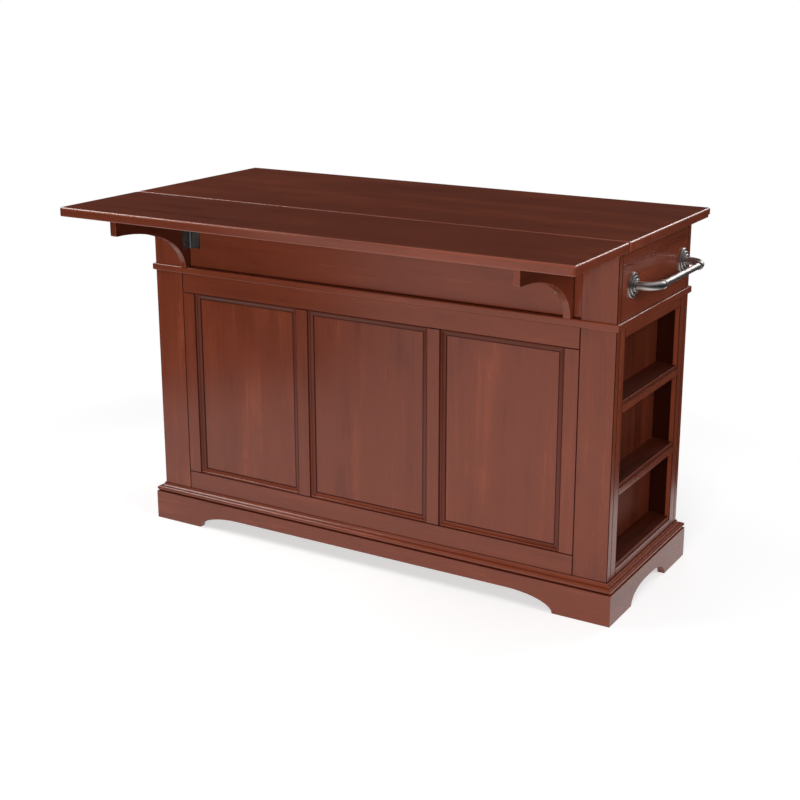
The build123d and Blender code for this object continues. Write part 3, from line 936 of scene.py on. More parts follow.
@dataclass
class Mouldings(Assembly):
    """Waist moulding, base moulding and plinth boards, mitred round the body.

    The base moulding holds glaze and painted shade in its groove, above its nose and along its top edge.
    The feet are their length and their cove's length, by whether they stand on an end.
    """

    waist_proud: float = 6.0 * MM
    waist_round: float = 2.5 * MM
    waist_rub: float = 0.25
    bar_ease: float = 0.3 * MM
    base_groove: float = 2.5 * MM
    base_nose: float = 6.0 * MM
    base_step: float = 1.0 * MM
    base_lip: float = 1.5 * MM
    base_head: float = 2.5 * MM
    base_set: float = 0.7 * MM
    # Shares of glaze and painted shade in the groove, above the nose and along the top edge.
    base_shade: tuple[float, float, float] = (1.0, 0.4, 0.9)
    nose_steps: int = 12
    cove_steps: int = 7
    plinth_thick: float = 18.5 * MM
    apron_low: float = 39.5 * MM
    feet: dict[bool, Pair] = field(
        default_factory=lambda: {False: (148.0 * MM, 125.0 * MM), True: (135.0 * MM, 90.0 * MM)})
    foot_steps: int = 14
    ease: float = 1.2 * MM
    waist_seed: int = 51
    base_seed: int = 52
    plinth_seed: int = 53

    def build(self) -> None:
        """Builds the three sets of strips."""
        self.waist()
        self.base()
        self.plinth()

    def core(self) -> Box:
        """Box of the body inside the plinth boards.

        Returns:
            Its lowest and highest corner.
        """
        low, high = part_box("plinth_ends")
        out = Vector((self.plinth_thick, self.plinth_thick, 0))
        return low + out, high - out

    def seat(self, side: Side) -> tuple[Matrix, float]:
        """Place of a strip on one side of the body, and its inner length.

        Args:
            side: the side.

        Returns:
            The place of the middle of the strip's inner edge, and the length.
        """
        low, high = self.core()
        size = high - low
        middle = (low + high) / 2
        length, depth = (size.y, size.x) if side.on_end else (size.x, size.y)
        centre = Matrix.Translation((middle.x, middle.y, 0))
        return centre @ side.turn() @ Matrix.Translation((0, -depth / 2, 0)), length

    def strip(self, piece: Joinery, side: Side, section: Corners, reach: float,
              soften: Callable[[Joinery], None]) -> None:
        """Adds one mitred strip to a piece.

        Args:
            piece: piece that takes the strip.
            side: side of the body.
            section: corners of the strip as (outwards, height).
            reach: how far the strip stands out.
            soften: rounds or glazes the strip's long edges.
        """
        seat, length = self.seat(side)
        half = length / 2 + reach
        piece.prism([Vector((-half, -out, z)) for out, z in section], Vector((2 * half, 0, 0)))
        soften(piece)
        piece.mitre(length)
        piece.place(seat)
        piece.settle(side.level_grain)

    def waist(self) -> None:
        """Waist moulding: a proud strip, and the bars behind it between the posts."""
        node = "waist_moulding"
        low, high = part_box(node)
        piece = self.wood(node, "strips", self.waist_seed)
        proud = self.waist_proud

        def soften(work: Joinery) -> None:
            """Rounds both outer arrises."""
            outer = [work.fresh_edges(lambda *ends: lies(1, -proud, *ends) and lies(2, level, *ends))
                     for level in (low.z, high.z)]
            work.round_edges(sum(outer, []), self.waist_round, 4, -self.waist_rub)

        section = [(0, low.z), (proud, low.z), (proud, high.z), (0, high.z)]
        for side in Side:
            self.strip(piece, side, section, proud, soften)
        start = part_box("post_front_left")[1].x
        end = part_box("post_front_right")[0].x
        rear_low, rear_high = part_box("post_back_left")
        bars = [((start, self.core()[0].y), (end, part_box("frieze_front")[1].y)),
                ((start, rear_low.y), (end, rear_high.y))]
        bars += [(corner.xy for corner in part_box(board)) for board in ("frieze_right", "frieze_left")]
        for near, far in bars:
            piece.board(Vector((*near, low.z)), Vector((*far, high.z)), self.bar_ease)
        piece.finish()

    def base(self) -> None:
        """Base moulding: a cove down to a half-round nose, over a small groove."""
        node = "base_moulding"
        low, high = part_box(node)
        piece = self.wood(node, "strips", self.base_seed)
        reach = self.plinth_thick - self.base_set
        neck = reach - self.base_nose
        lip = low.z + self.base_groove
        crown = lip + 2 * self.base_nose
        foot = neck - self.base_step
        head = high.z - self.base_lip
        nose = arc_points(Vector((0, -neck, lip + self.base_nose)), (0, 0, -1), "X", -180, self.nose_steps,
                          (1, self.base_nose, self.base_nose))
        cove = arc_points(Vector((0, -foot, head)), (0, 0, -1), "X", 90, self.cove_steps,
                          (1, foot - self.base_head, head - crown))
        section = [(0, low.z), (neck, low.z), *((-point.y, point.z) for point in (*nose, *cove)),
                   (self.base_head, high.z), (0, high.z)]

        def soften(work: Joinery) -> None:
            """Paints glaze and shade in the groove, above the nose and along the top edge."""
            in_groove, on_nose, on_head = self.base_shade
            work.glaze_and_shade(lambda place: place.z < lip + TOUCH, in_groove)
            work.glaze_and_shade(lambda place: lies(2, crown, place) and place.y > -neck - TOUCH, on_nose)
            work.glaze_and_shade(lambda place: lies(2, high.z, place), on_head)

        for side in Side:
            self.strip(piece, side, section, reach, soften)
        piece.finish()

    def plinth(self) -> None:
        """Plinth boards with bracket feet cut by elliptical coves."""
        boards = (("plinth_front", (Side.FRONT,)), ("plinth_back", (Side.BACK,)),
                  ("plinth_ends", (Side.LEFT, Side.RIGHT)))
        for seed, (node, sides) in enumerate(boards, self.plinth_seed):
            piece = self.wood(node, "boards", seed)
            for side in sides:
                self.plinth_board(piece, side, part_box("plinth_front")[1].z)
            piece.finish()

    def plinth_board(self, piece: Joinery, side: Side, top: float) -> None:
        """Adds one plinth board.

        Args:
            piece: piece that takes the board.
            side: side of the body.
            top: height of the board.
        """
        seat, length = self.seat(side)
        foot, cove = self.feet[side.on_end]
        half = length / 2 + self.plinth_thick
        flat = half - foot - cove
        reach = (cove, 1, self.apron_low)
        right = arc_points(Vector((flat, 0, 0)), (1, 0, 0), "Y", -90, self.foot_steps, reach)
        left = arc_points(Vector((-flat, 0, 0)), (0, 0, 1), "Y", -90, self.foot_steps, reach)
        outline = [Vector((half, 0, 0)), *right, *left, Vector((-half, 0, 0)), Vector((-half, 0, top)),
                   Vector((half, 0, top))]
        piece.prism(outline, Vector((0, -self.plinth_thick, 0)))

        def lower_rim(first: Vector, second: Vector) -> bool:
            """Whether an edge is on the rim of the outer face, apart from its ends and its top."""
            between = not all(abs(abs(point.x) - half) < TOUCH for point in (first, second))
            return between and lies(1, -self.plinth_thick, first, second)

        piece.round_edges(piece.fresh_edges(lower_rim), self.ease, 2)
        piece.mitre(length)
        piece.place(seat)
        piece.settle(side.level_grain)


@dataclass
class BeadFrame:
    """Four mitred bead strips round a panel: a rounded crest by the frame and a cove down to the panel.

    The shades are the shares of painted shade on the bottom, right, top and left strip, by how the light
    falls on each.
    """

    width: float = 15.0 * MM
    height: float = 7.0 * MM
    crest: float = 3.0 * MM
    crest_round: float = 2.94 * MM
    foot: float = 1.5 * MM
    hollow: float = 0.7 * MM
    hollow_round: float = 2.2 * MM
    # Painted shade in the quirk by the crest.
    quirk_painted_shade: float = 0.6
    shade: tuple[float, ...] = (0.0, 0.45, 0.55, 0.45)

    def add(self, piece: Joinery, side: Side, centre: Vector, width: float, height: float) -> None:
        """Adds the strips to a piece.

        Args:
            piece: piece that takes the strips.
            side: side that the panel faces.
            centre: middle of the panel's face.
            width: width of the opening.
            height: height of the opening.
        """
        seat = Matrix.Translation(centre) @ side.facing()
        for turn, shade in enumerate(self.shade):
            upright = turn % 2 == 1
            length, across = (height, width) if upright else (width, height)
            self.strip(piece, length, shade)
            piece.place(seat @ rotation(90 * turn, "Z") @ Matrix.Translation((0, -across / 2, 0)))
            piece.settle(Grain.Z if upright else side.level_grain)

    def strip(self, piece: Joinery, length: float, shade: float) -> None:
        """Adds one strip along X, with its outer edge at Y = 0.

        Args:
            piece: piece that takes the strip.
            length: length of its outer edge.
            shade: share of painted shade all over it.
        """
        quirk = 2 * self.crest
        shoulder = self.height - self.crest
        cove_end = self.width - self.foot
        hollow_y = (quirk + cove_end) / 2
        hollow_z = (shoulder + self.foot) / 2 - self.hollow
        section = ((0, 0), (0, self.height), (quirk, self.height), (quirk, shoulder), (hollow_y, hollow_z),
                   (cove_end, self.foot), (self.width, self.foot), (self.width, 0))
        piece.prism([Vector((-length / 2, y, z)) for y, z in section], Vector((length, 0, 0)))
        crest = piece.fresh_edges(lambda *ends: runs(0, *ends) and lies(2, self.height, *ends))
        piece.round_edges(crest, self.crest_round, 4)
        cove = piece.fresh_edges(lambda *ends: runs(0, *ends) and lies(1, hollow_y, *ends))
        piece.round_edges(cove, self.hollow_round, 3)
        # Painted shade: all over the strip by its side, full along its edges, as in the seams, and in the
        # quirk.
        piece.glaze_and_shade(lambda place: True, shade)
        piece.glaze_and_shade(lambda place: not TOUCH <= place.y <= cove_end - TOUCH, FULL_GLAZE_AND_SHADE)
        piece.glaze_and_shade(lambda place: lies(1, quirk, place) and place.z < shoulder + TOUCH, self.quirk_painted_shade)
        piece.mitre(length)


@dataclass
class FixedBeads(Assembly):
    """Bead strips of the front panels and of the left end's panel."""

    beads: BeadFrame = field(default_factory=BeadFrame)
    seed: int = 60

    def build(self) -> None:
        """Builds the strips as one piece."""
        piece = self.wood("panel_beads", "strips", self.seed)
        for panel in ("front_panel_left", "front_panel_centre", "front_panel_right"):
            low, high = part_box(panel)
            centre = Vector(((low.x + high.x) / 2, low.y, (low.z + high.z) / 2))
            self.beads.add(piece, Side.FRONT, centre, high.x - low.x, high.z - low.z)
        low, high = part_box("left_end_panel")
        centre = Vector((low.x, (low.y + high.y) / 2, (low.z + high.z) / 2))
        self.beads.add(piece, Side.LEFT, centre, high.y - low.y, high.z - low.z)
        piece.finish()


@dataclass
class Rack(Assembly):
    """Boards of the open rack, each with a tongue that runs out over its rail, and the side linings."""

    lining: float = 10.0 * MM
    tongue: float = 12.0 * MM
    ease: float = 1.2 * MM
    # The front edges are rubbed pale as a painted highlight; the linings' front faces and the boards' tops
    # take painted shade.
    rub_and_highlight: float = 1.0
    shade: float = 1.0
    painted_floor_shade: float = 0.55
    floor_facing: float = 0.95
    shelf_seed: int = 70
    lining_seed: int = 71

    def build(self) -> None:
        """Builds the side linings and the rack's boards."""
        self.linings()
        self.shelves()

    def linings(self) -> None:
        """Builds the linings, with painted shade on the faces that look to the front."""
        piece = self.wood("rack_linings", "boards", self.lining_seed, "rack_wood")
        for low, high in solid_boxes("rack_linings"):
            piece.cube(low, high)
            piece.round_edges(piece.fresh_edges(any_edge), self.ease, 2)
            # Painted shade on the faces that look to the front.
            piece.shade_or_rub_faces(lambda normal: -normal.y > FACING, self.shade)
            piece.settle(Grain.Z)
        piece.finish()

    def shelves(self) -> None:
        """Builds the rack's boards, rubbed pale along their front edges as a painted highlight, with painted
        shade on their tops.
        """
        piece = self.wood("rack_shelves", "boards", self.shelf_seed, "rack_wood")
        for low, high in solid_boxes("rack_shelves"):
            neck = high.x - self.tongue
            near = low.y + self.lining
            far = high.y - self.lining
            outline = ((low.x, low.y), (neck, low.y), (neck, near), (high.x, near), (high.x, far),
                       (neck, far), (neck, high.y), (low.x, high.y))
            piece.prism([Vector((x, y, low.z)) for x, y in outline], Vector((0, 0, high.z - low.z)))
            front = piece.fresh_edges(lambda *ends: runs(1, *ends) and lies(0, high.x, *ends))
            # Painted highlight along the front edge.
            piece.round_edges(front, self.ease, 2, -self.rub_and_highlight)
            # Painted shade on the top.
            piece.shade_or_rub_faces(lambda normal: normal.z > self.floor_facing, self.painted_floor_shade)
            piece.settle(Grain.Y)
        piece.finish()


@dataclass
class Bracket(Assembly):
    """Swing-out bracket with an elliptical cove below its nose."""

    side: str
    seed: int
    # shade: painted shade on the flat sides, which lie under the leaf in shadow.
    shade: float
    nose: float = 46.0 * MM
    lip: float = 8.0 * MM
    foot: float = 23.0 * MM
    corner: float = 5.0 * MM
    ease: float = 1.4 * MM
    rub_and_highlight: float = 0.3
    cove_steps: int = 20
    corner_steps: int = 4

    def build(self) -> None:
        """Builds the bracket's board."""
        node = f"bracket_{self.side}"
        piece = self.wood(node, "board", self.seed, body=node)
        low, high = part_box(node)
        nose_low = high.z - self.nose
        cove = arc_points(Vector((low.x, low.y + self.lip, low.z)), (0, 1, 0), "X", 90, self.cove_steps,
                          (1, high.y - self.foot - low.y - self.lip, nose_low - low.z))
        tip = Vector((low.x, low.y + self.corner, nose_low + self.corner))
        front = arc_points(tip, (0, 0, -1), "X", -90, self.corner_steps, (1, self.corner, self.corner))
        outline = [Vector((low.x, high.y, high.z)), Vector((low.x, high.y, low.z)), *cove, *front,
                   Vector((low.x, low.y, high.z))]
        piece.prism(outline, Vector((high.x - low.x, 0, 0)))
        # Painted shade on the flat sides.
        piece.shade_or_rub_faces(lambda normal: abs(normal.x) > FACING, self.shade)
        piece.round_edges(piece.fresh_edges(lambda *ends: not runs(0, *ends)), self.ease, 2, -self.rub_and_highlight)
        piece.settle(Grain.Y)
        piece.finish()


@dataclass
class Drawer(Assembly):
    """Drawer with a solid front and a plain box behind it."""

    side: str
    front_seed: int
    box_seed: int
    wall: float = 12.0 * MM
    bottom: float = 6.0 * MM
    rise: float = 8.0 * MM
    ease: float = 2.0 * MM
    fine_ease: float = 0.8 * MM

    def build(self) -> None:
        """Builds the front and the box."""
        body = f"drawer_{self.side}"
        node = f"{body}_front"
        front = self.wood(node, "board", self.front_seed, body=body)
        front.board(*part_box(node), self.ease)
        front.finish()
        node = f"{body}_box"
        low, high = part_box(node)
        box = self.wood(node, "boards", self.box_seed, "inside_wood", body)
        left = low.x + self.wall
        right = high.x - self.wall
        back = low.y + self.wall
        floor = low.z + self.rise
        for first, second in (
                (low, (left, high.y, high.z)), ((right, low.y, low.z), high),
                ((left, low.y, low.z), (right, back, high.z)),
                ((left, back, floor), (right, high.y, floor + self.bottom))):
            box.board(Vector(first), Vector(second), self.fine_ease)
        box.finish()


@dataclass
class Runners(Assembly):
    """Drawer runners: a foot on the dust board with a guide at its outer edge."""

    foot: float = 6.5 * MM
    guide: float = 6.7 * MM
    seed: int = 100

    def build(self) -> None:
        """Builds the runners as one piece."""
        node = "drawer_runners"
        piece = self.wood(node, "boards", self.seed, "inside_wood")
        drawers = [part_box("drawer_left_box"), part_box("drawer_right_box")]
        for low, high in solid_boxes(node):
            level = low.z + self.foot
            middle = (low.x + high.x) / 2
            walls = [(abs(box[end].x - middle), end) for box in drawers for end in (0, 1)]
            on_low_side = min(walls)[1] == 0
            start = low.x if on_low_side else high.x - self.guide
            outline = ((low.x, low.z), (high.x, low.z), (high.x, level), (start + self.guide, level),
                       (start + self.guide, high.z), (start, high.z), (start, level), (low.x, level))
            corners = dict.fromkeys(outline)
            piece.prism([Vector((x, low.y, z)) for x, z in corners], Vector((0, high.y - low.y, 0)))
            piece.settle(Grain.Y)
        piece.finish()


@dataclass
class Door(Assembly):
    """Framed door with a flat panel and bead strips."""

    name: str
    seed: int
    rail: float = 45.0 * MM
    recess: float = 9.0 * MM
    panel: float = 8.0 * MM
    ease: float = 1.6 * MM
    panel_ease: float = 0.4 * MM
    beads: BeadFrame = field(default_factory=BeadFrame)

    def build(self) -> None:
        """Builds the door as one piece."""
        piece = self.wood(self.name, "joinery", self.seed, body=self.name)
        low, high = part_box(self.name)
        left, right = low.x + self.rail, high.x - self.rail
        bottom, top = low.z + self.rail, high.z - self.rail
        for first, second in (
                (low, (left, high.y, high.z)), ((right, low.y, low.z), high),
                ((left, low.y, low.z), (right, high.y, bottom)),
                ((left, low.y, top), (right, high.y, high.z))):
            piece.board(Vector(first), Vector(second), self.ease)
        face = high.y - self.recess
        piece.board(Vector((left, face - self.panel, bottom)), Vector((right, face, top)), self.panel_ease,
                    Grain.Z)
        centre = Vector(((left + right) / 2, face, (bottom + top) / 2))
        self.beads.add(piece, Side.BACK, centre, right - left, top - bottom)
        piece.finish()


# Metalwork


@dataclass
class MetalPiece(Piece):
    """Metal piece with parts that are turned from a profile."""

    turn_steps: int = 48

    def turned(self, profile: Corners, place: Matrix) -> None:
        """Spins a profile about Z and places it.

        Args:
            profile: corners as (radius, height) in metres, from the axis to the axis.
            place: where its foot goes.
        """
        before = set(self.mesh.verts)
        verts = [self.mesh.verts.new((radius, 0, height)) for radius, height in profile]
        edges = [self.mesh.edges.new(pair) for pair in zip(verts, verts[1:])]
        bmesh.ops.spin(self.mesh, geom=[*verts, *edges], cent=(0, 0, 0), axis=(0, 0, 1), angle=math.tau,
                       steps=self.turn_steps, use_merge=True)
        bmesh.ops.remove_doubles(self.mesh, verts=added(self.mesh, before), dist=TOUCH)
        made = added(self.mesh, before)
        bmesh.ops.recalc_face_normals(self.mesh, faces=list(faces_of(made)))
        bmesh.ops.transform(self.mesh, matrix=place, verts=made)


@dataclass
class TowelBar(Assembly):
    """Stepped rosettes, elbows with collars, and the bar between them.

    The profiles of the rosette and of the collar are radius and height in millimetres.
    """

    rosette: tuple[Pair, ...] = (
        (0.0, 0.0), (30.0, 0.0), (30.0, 2.4), (29.6, 3.7), (28.6, 4.7), (27.0, 5.0), (25.2, 4.7),
        (23.7, 4.1), (23.0, 4.3), (23.0, 6.6), (22.5, 8.0), (21.3, 8.9), (19.9, 9.0), (17.9, 8.6),
        (16.1, 8.0), (15.5, 8.3), (15.5, 10.2), (14.9, 11.6), (13.4, 12.4), (11.0, 12.5), (0.0, 12.5))
    collar: tuple[Pair, ...] = (
        (0.0, 0.0), (9.0, 0.0), (10.3, 0.6), (10.9, 1.8), (11.0, 3.0), (10.8, 4.2), (10.1, 5.1),
        (8.9, 5.5), (8.5, 5.9), (8.5, 6.7), (9.3, 7.0), (0.0, 7.0))
    arm: float = 9.5 * MM
    arm_sides: int = 32
    bend: float = 39.0 * MM
    bend_steps: int = 14

    def metal(self, node: str, kind: str) -> MetalPiece:
        """Starts one of the bar's pieces, which stands for a CAD node."""
        return MetalPiece(f"{node}_{kind}", "carcass", "towel_metal", self.finishes["towel_metal"], (node,))

    def build(self) -> None:
        """Builds the rosettes, the elbows and the bar."""
        rosettes = self.metal("towel_rosettes", "turned")
        elbows = self.metal("towel_elbows", "bent")
        rosette = [(radius * MM, height * MM) for radius, height in self.rosette]
        collar = [(radius * MM, height * MM) for radius, height in self.collar]
        bar_low, bar_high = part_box("towel_bar")
        axis = (bar_low + bar_high) / 2
        for low, high in solid_boxes("towel_rosettes"):
            middle = (low + high) / 2
            seat = Vector((low.x, middle.y, middle.z))
            rosettes.turned(rosette, Matrix.Translation(seat) @ rotation(90, "Y"))
            self.elbow(elbows.mesh, Vector((high.x, middle.y, middle.z)), axis)
            way, end = (1, bar_high.y) if middle.y > axis.y else (-1, bar_low.y)
            elbows.turned(collar, Matrix.Translation((axis.x, end, axis.z)) @ rotation(-90 * way, "X"))
        rosettes.finish()
        elbows.finish()
        bar = self.metal("towel_bar", "rod")
        radius = (bar_high.z - bar_low.z) / 2
        length = bar_high.y - bar_low.y
        lying = Matrix.Translation((axis.x, bar_low.y, axis.z)) @ rotation(-90, "X")
        bar.turned(((0, 0), (radius, 0), (radius, length), (0, length)), lying)
        bar.finish()

    def elbow(self, mesh: bmesh.types.BMesh, root: Vector, axis: Vector) -> None:
        """Adds an arm that leaves a rosette and bends towards the bar.

        Args:
            mesh: mesh that takes the arm.
            root: where the arm leaves the rosette.
            axis: a point on the bar's axis.
        """
        way = 1 if root.y > axis.y else -1
        before = set(mesh.verts)
        circle = bmesh.ops.create_circle(mesh, cap_ends=True, radius=self.arm, segments=self.arm_sides,
                                         matrix=Matrix.Translation(root) @ rotation(90, "Y"))
        rim = [edge for edge in edges_of(circle["verts"]) if len(edge.link_faces) < 2]
        grown = bmesh.ops.extrude_edge_only(mesh, edges=rim)["geom"]
        moved = picked(grown, Vert)
        bmesh.ops.translate(mesh, verts=moved, vec=(axis.x - self.bend - root.x, 0, 0))
        ring = [edge for edge in picked(grown, Edge) if all(vert in moved for vert in edge.verts)]
        centre = Vector((axis.x - self.bend, root.y - way * self.bend, root.z))
        spun = bmesh.ops.spin(mesh, geom=[*moved, *ring], cent=centre, axis=(0, 0, -way),
                              angle=math.radians(90), steps=self.bend_steps)
        bmesh.ops.edgeloop_fill(mesh, edges=picked(spun["geom_last"], Edge))
        bmesh.ops.remove_doubles(mesh, verts=added(mesh, before), dist=TOUCH)
        bmesh.ops.recalc_face_normals(mesh, faces=list(faces_of(added(mesh, before))))


@dataclass
class ScrewHead:
    """Countersunk screw head with a cross recess, which lies on a hinge leaf.

    The crown and the recess's arms are shares of the radius.
    """

    radius: float = 3.4 * MM
    height: float = 0.7 * MM
    recess: float = 0.5 * MM
    slot: float = 0.55 * MM
    crown: float = 0.82
    arm: float = 0.6
    sides: int = 20

    def add(self, mesh: bmesh.types.BMesh, at: Vector, outward: Vector) -> None:
        """Adds one head.

        Args:
            mesh: mesh that takes the head.
            at: place on the leaf's face.
            outward: the face's normal.
        """
        before = set(mesh.verts)
        bmesh.ops.create_cone(mesh, cap_ends=True, segments=self.sides, radius1=self.radius,
                              radius2=self.radius * self.crown, depth=self.height,
                              matrix=Matrix.Translation((0, 0, self.height / 2)))
        reach = self.radius * self.arm
        lines = [(normal, way * out) for out in (self.slot, reach)
                 for normal in (Vector((1, 0, 0)), Vector((0, 1, 0))) for way in (-1, 1)]
        for normal, out in lines:
            verts = added(mesh, before)
            bmesh.ops.bisect_plane(mesh, geom=[*verts, *edges_of(verts), *faces_of(verts)],
                                   plane_no=normal, plane_co=normal * out)
        cross = []
        for face in faces_of(added(mesh, before)):
            across, along = sorted(abs(part) for part in face.calc_center_median().xy)
            if face.normal.z > FACING and across < self.slot and along < reach:
                cross.append(face)
        sunk = picked(bmesh.ops.extrude_face_region(mesh, geom=cross)["geom"], Vert)
        bmesh.ops.delete(mesh, geom=cross, context="FACES")
        bmesh.ops.translate(mesh, verts=sunk, vec=(0, 0, -self.recess))
        turn = Vector((0, 0, 1)).rotation_difference(outward).to_matrix().to_4x4()
        bmesh.ops.transform(mesh, matrix=Matrix.Translation(at) @ turn, verts=added(mesh, before))


@dataclass(frozen=True)
class ScrewRow:
    """Screws along a hinge leaf: how many, their distance from its ends and from the pin's barrel."""

    count: int
    inset: float
    out: float

    def places(self, length: float) -> list[float]:
        """Places of the screws along a leaf of some length, counted from its middle."""
        run = length - 2 * self.inset
        return [run * (index / (self.count - 1) - MIDDLE) for index in range(self.count)]


@dataclass
class Hinges(Assembly):
    """Screws of all the hinges, and the metal of the hinge leaves, pins and knobs."""

    screw: ScrewHead = field(default_factory=ScrewHead)
    screw_sharp: float = 30.0
    set_off: float = 3.7 * MM
    leaf: float = 2.0 * MM
    edge: float = 4.0 * MM
    bracket_row: ScrewRow = ScrewRow(3, 15.0 * MM, 12.0 * MM)
    bracket_stagger: float = 4.0 * MM
    leaf_row: ScrewRow = ScrewRow(3, 11.0 * MM, 8.0 * MM)
    leaf_length: float = 76.0 * MM
    door_row: ScrewRow = ScrewRow(2, 12.0 * MM, 10.0 * MM)
    door_length: float = 60.0 * MM
    door_level: float = 90.0 * MM
    doors: tuple[str, ...] = ("door_left_outer", "door_left_inner", "door_right_inner", "door_right_outer")
    steel_nodes: tuple[str, ...] = (
        "hinge_plates", "hinge_pins", "leaf_hinge_flaps", "bracket_left_flap", "bracket_right_flap")
    heads: dict[str, Piece] = field(default_factory=dict, init=False)

    def build(self) -> None:
        """Gives the CAD nodes their metal and adds the screws."""
        for node in self.steel_nodes:
            self.dress(node, "hinge_metal")
        for body in frame["bodies"]:
            for node in (f"{body}_fittings", f"{body}_knobs"):
                if node in frame["nodes"]:
                    self.dress(node, "knob_metal")
        for side, way in (("left", 1), ("right", -1)):
            self.bracket_screws(f"bracket_{side}", self.pin(f"bracket_{side}_fold"), way)
        self.leaf_screws(self.pin("leaf_lift"))
        for door in self.doors:
            self.door_screws(door, self.pin(f"{door}_swing"))
        for piece in self.heads.values():
            piece.finish()

    def pin(self, joint: str) -> Vector:
        """A point on the pin that a joint turns about."""
        return next(Vector(row["pos_m"]) for row in frame["joints"] if row["name"] == joint)

    def dress(self, node: str, slot: str) -> None:
        """Sets the material of a CAD node.

        Args:
            node: the node.
            slot: slot of the finish.
        """
        materials = frame["nodes"][node].data.materials
        materials.clear()
        materials.append(self.finishes[slot])

    def head(self, body: str, at: Place, outward: Place, slot: str = "hinge_metal") -> None:
        """Adds one screw head.

        Args:
            body: body that it rides on.
            at: place on the leaf's face.
            outward: the face's normal.
            slot: slot of its finish.
        """
        name = f"{body}_screws_{slot}"
        if name not in self.heads:
            self.heads[name] = Piece(name, body, slot, self.finishes[slot], sharp=self.screw_sharp)
        self.screw.add(self.heads[name].mesh, Vector(at), Vector(outward))

    def bracket_screws(self, bracket: str, axis: Vector, way: int) -> None:
        """Screws of a bracket's hinge, staggered across its leaves.

        Args:
            bracket: body of the bracket.
            axis: a point on the pin.
            way: 1 if the fixed leaf lies to the right of the pin, -1 if to the left.
        """
        face = self.set_off - self.leaf
        low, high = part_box(f"{bracket}_flap")
        middle = (low.z + high.z) / 2
        for index, rise in enumerate(self.bracket_row.places(high.z - low.z)):
            out = self.edge + self.bracket_row.out + self.bracket_stagger * (-1) ** index
            self.head("carcass", (axis.x + way * out, axis.y + face, middle + rise), (0, -1, 0))
            self.head(bracket, (axis.x - way * face, axis.y - out, middle + rise), (way, 0, 0))

    def leaf_screws(self, axis: Vector) -> None:
        """Screws of the hinges under the leaf.

        Args:
            axis: a point on the pins.
        """
        level = axis.z + self.set_off - self.leaf
        out = self.edge + self.leaf_row.out
        for low, high in solid_boxes("leaf_hinge_flaps"):
            middle = (low.x + high.x) / 2
            for run in self.leaf_row.places(self.leaf_length):
                self.head("carcass", (middle + run, axis.y + out, level), (0, 0, -1))
                self.head("leaf", (middle + run, axis.y - out, level), (0, 0, -1))

    def door_screws(self, door: str, axis: Vector) -> None:
        """Screws of a door's two hinges.

        Args:
            door: body of the door.
            axis: a point on the pins.
        """
        low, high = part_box(door)
        way = 1 if (low.x + high.x) / 2 > axis.x else -1
        out = way * (self.edge + self.door_row.out)
        face = axis.y - self.set_off + self.leaf
        for level in (low.z + self.door_level, high.z - self.door_level):
            for rise in self.door_row.places(self.door_length):
                self.head(door, (axis.x + out, face, level + rise), (0, 1, 0), "knob_metal")
                self.head("carcass", (axis.x - out, face, level + rise), (0, 1, 0))


# Studio


@dataclass(frozen=True)
class Softbox:
    """Rectangular lamp that points at the counter, shown or not by reflections."""

    name: str
    place: Place
    width: float
    height: float
    power: float
    aim: Place = (0.0, 0.0, 0.5)
    mirrored: bool = False

    def build(self) -> None:
        """Adds the lamp to the scene."""
        data = bpy.data.lights.new(self.name, "AREA")
        data.shape = "RECTANGLE"
        data.size = self.width
        data.size_y = self.height
        data.energy = self.power
        lamp = bpy.data.objects.new(self.name, data)
        lamp.visible_glossy = self.mirrored
        lamp.location = self.place
        lamp.rotation_euler = (Vector(self.aim) - Vector(self.place)).to_track_quat("-Z", "Y").to_euler()
        bpy.context.scene.collection.objects.link(lamp)


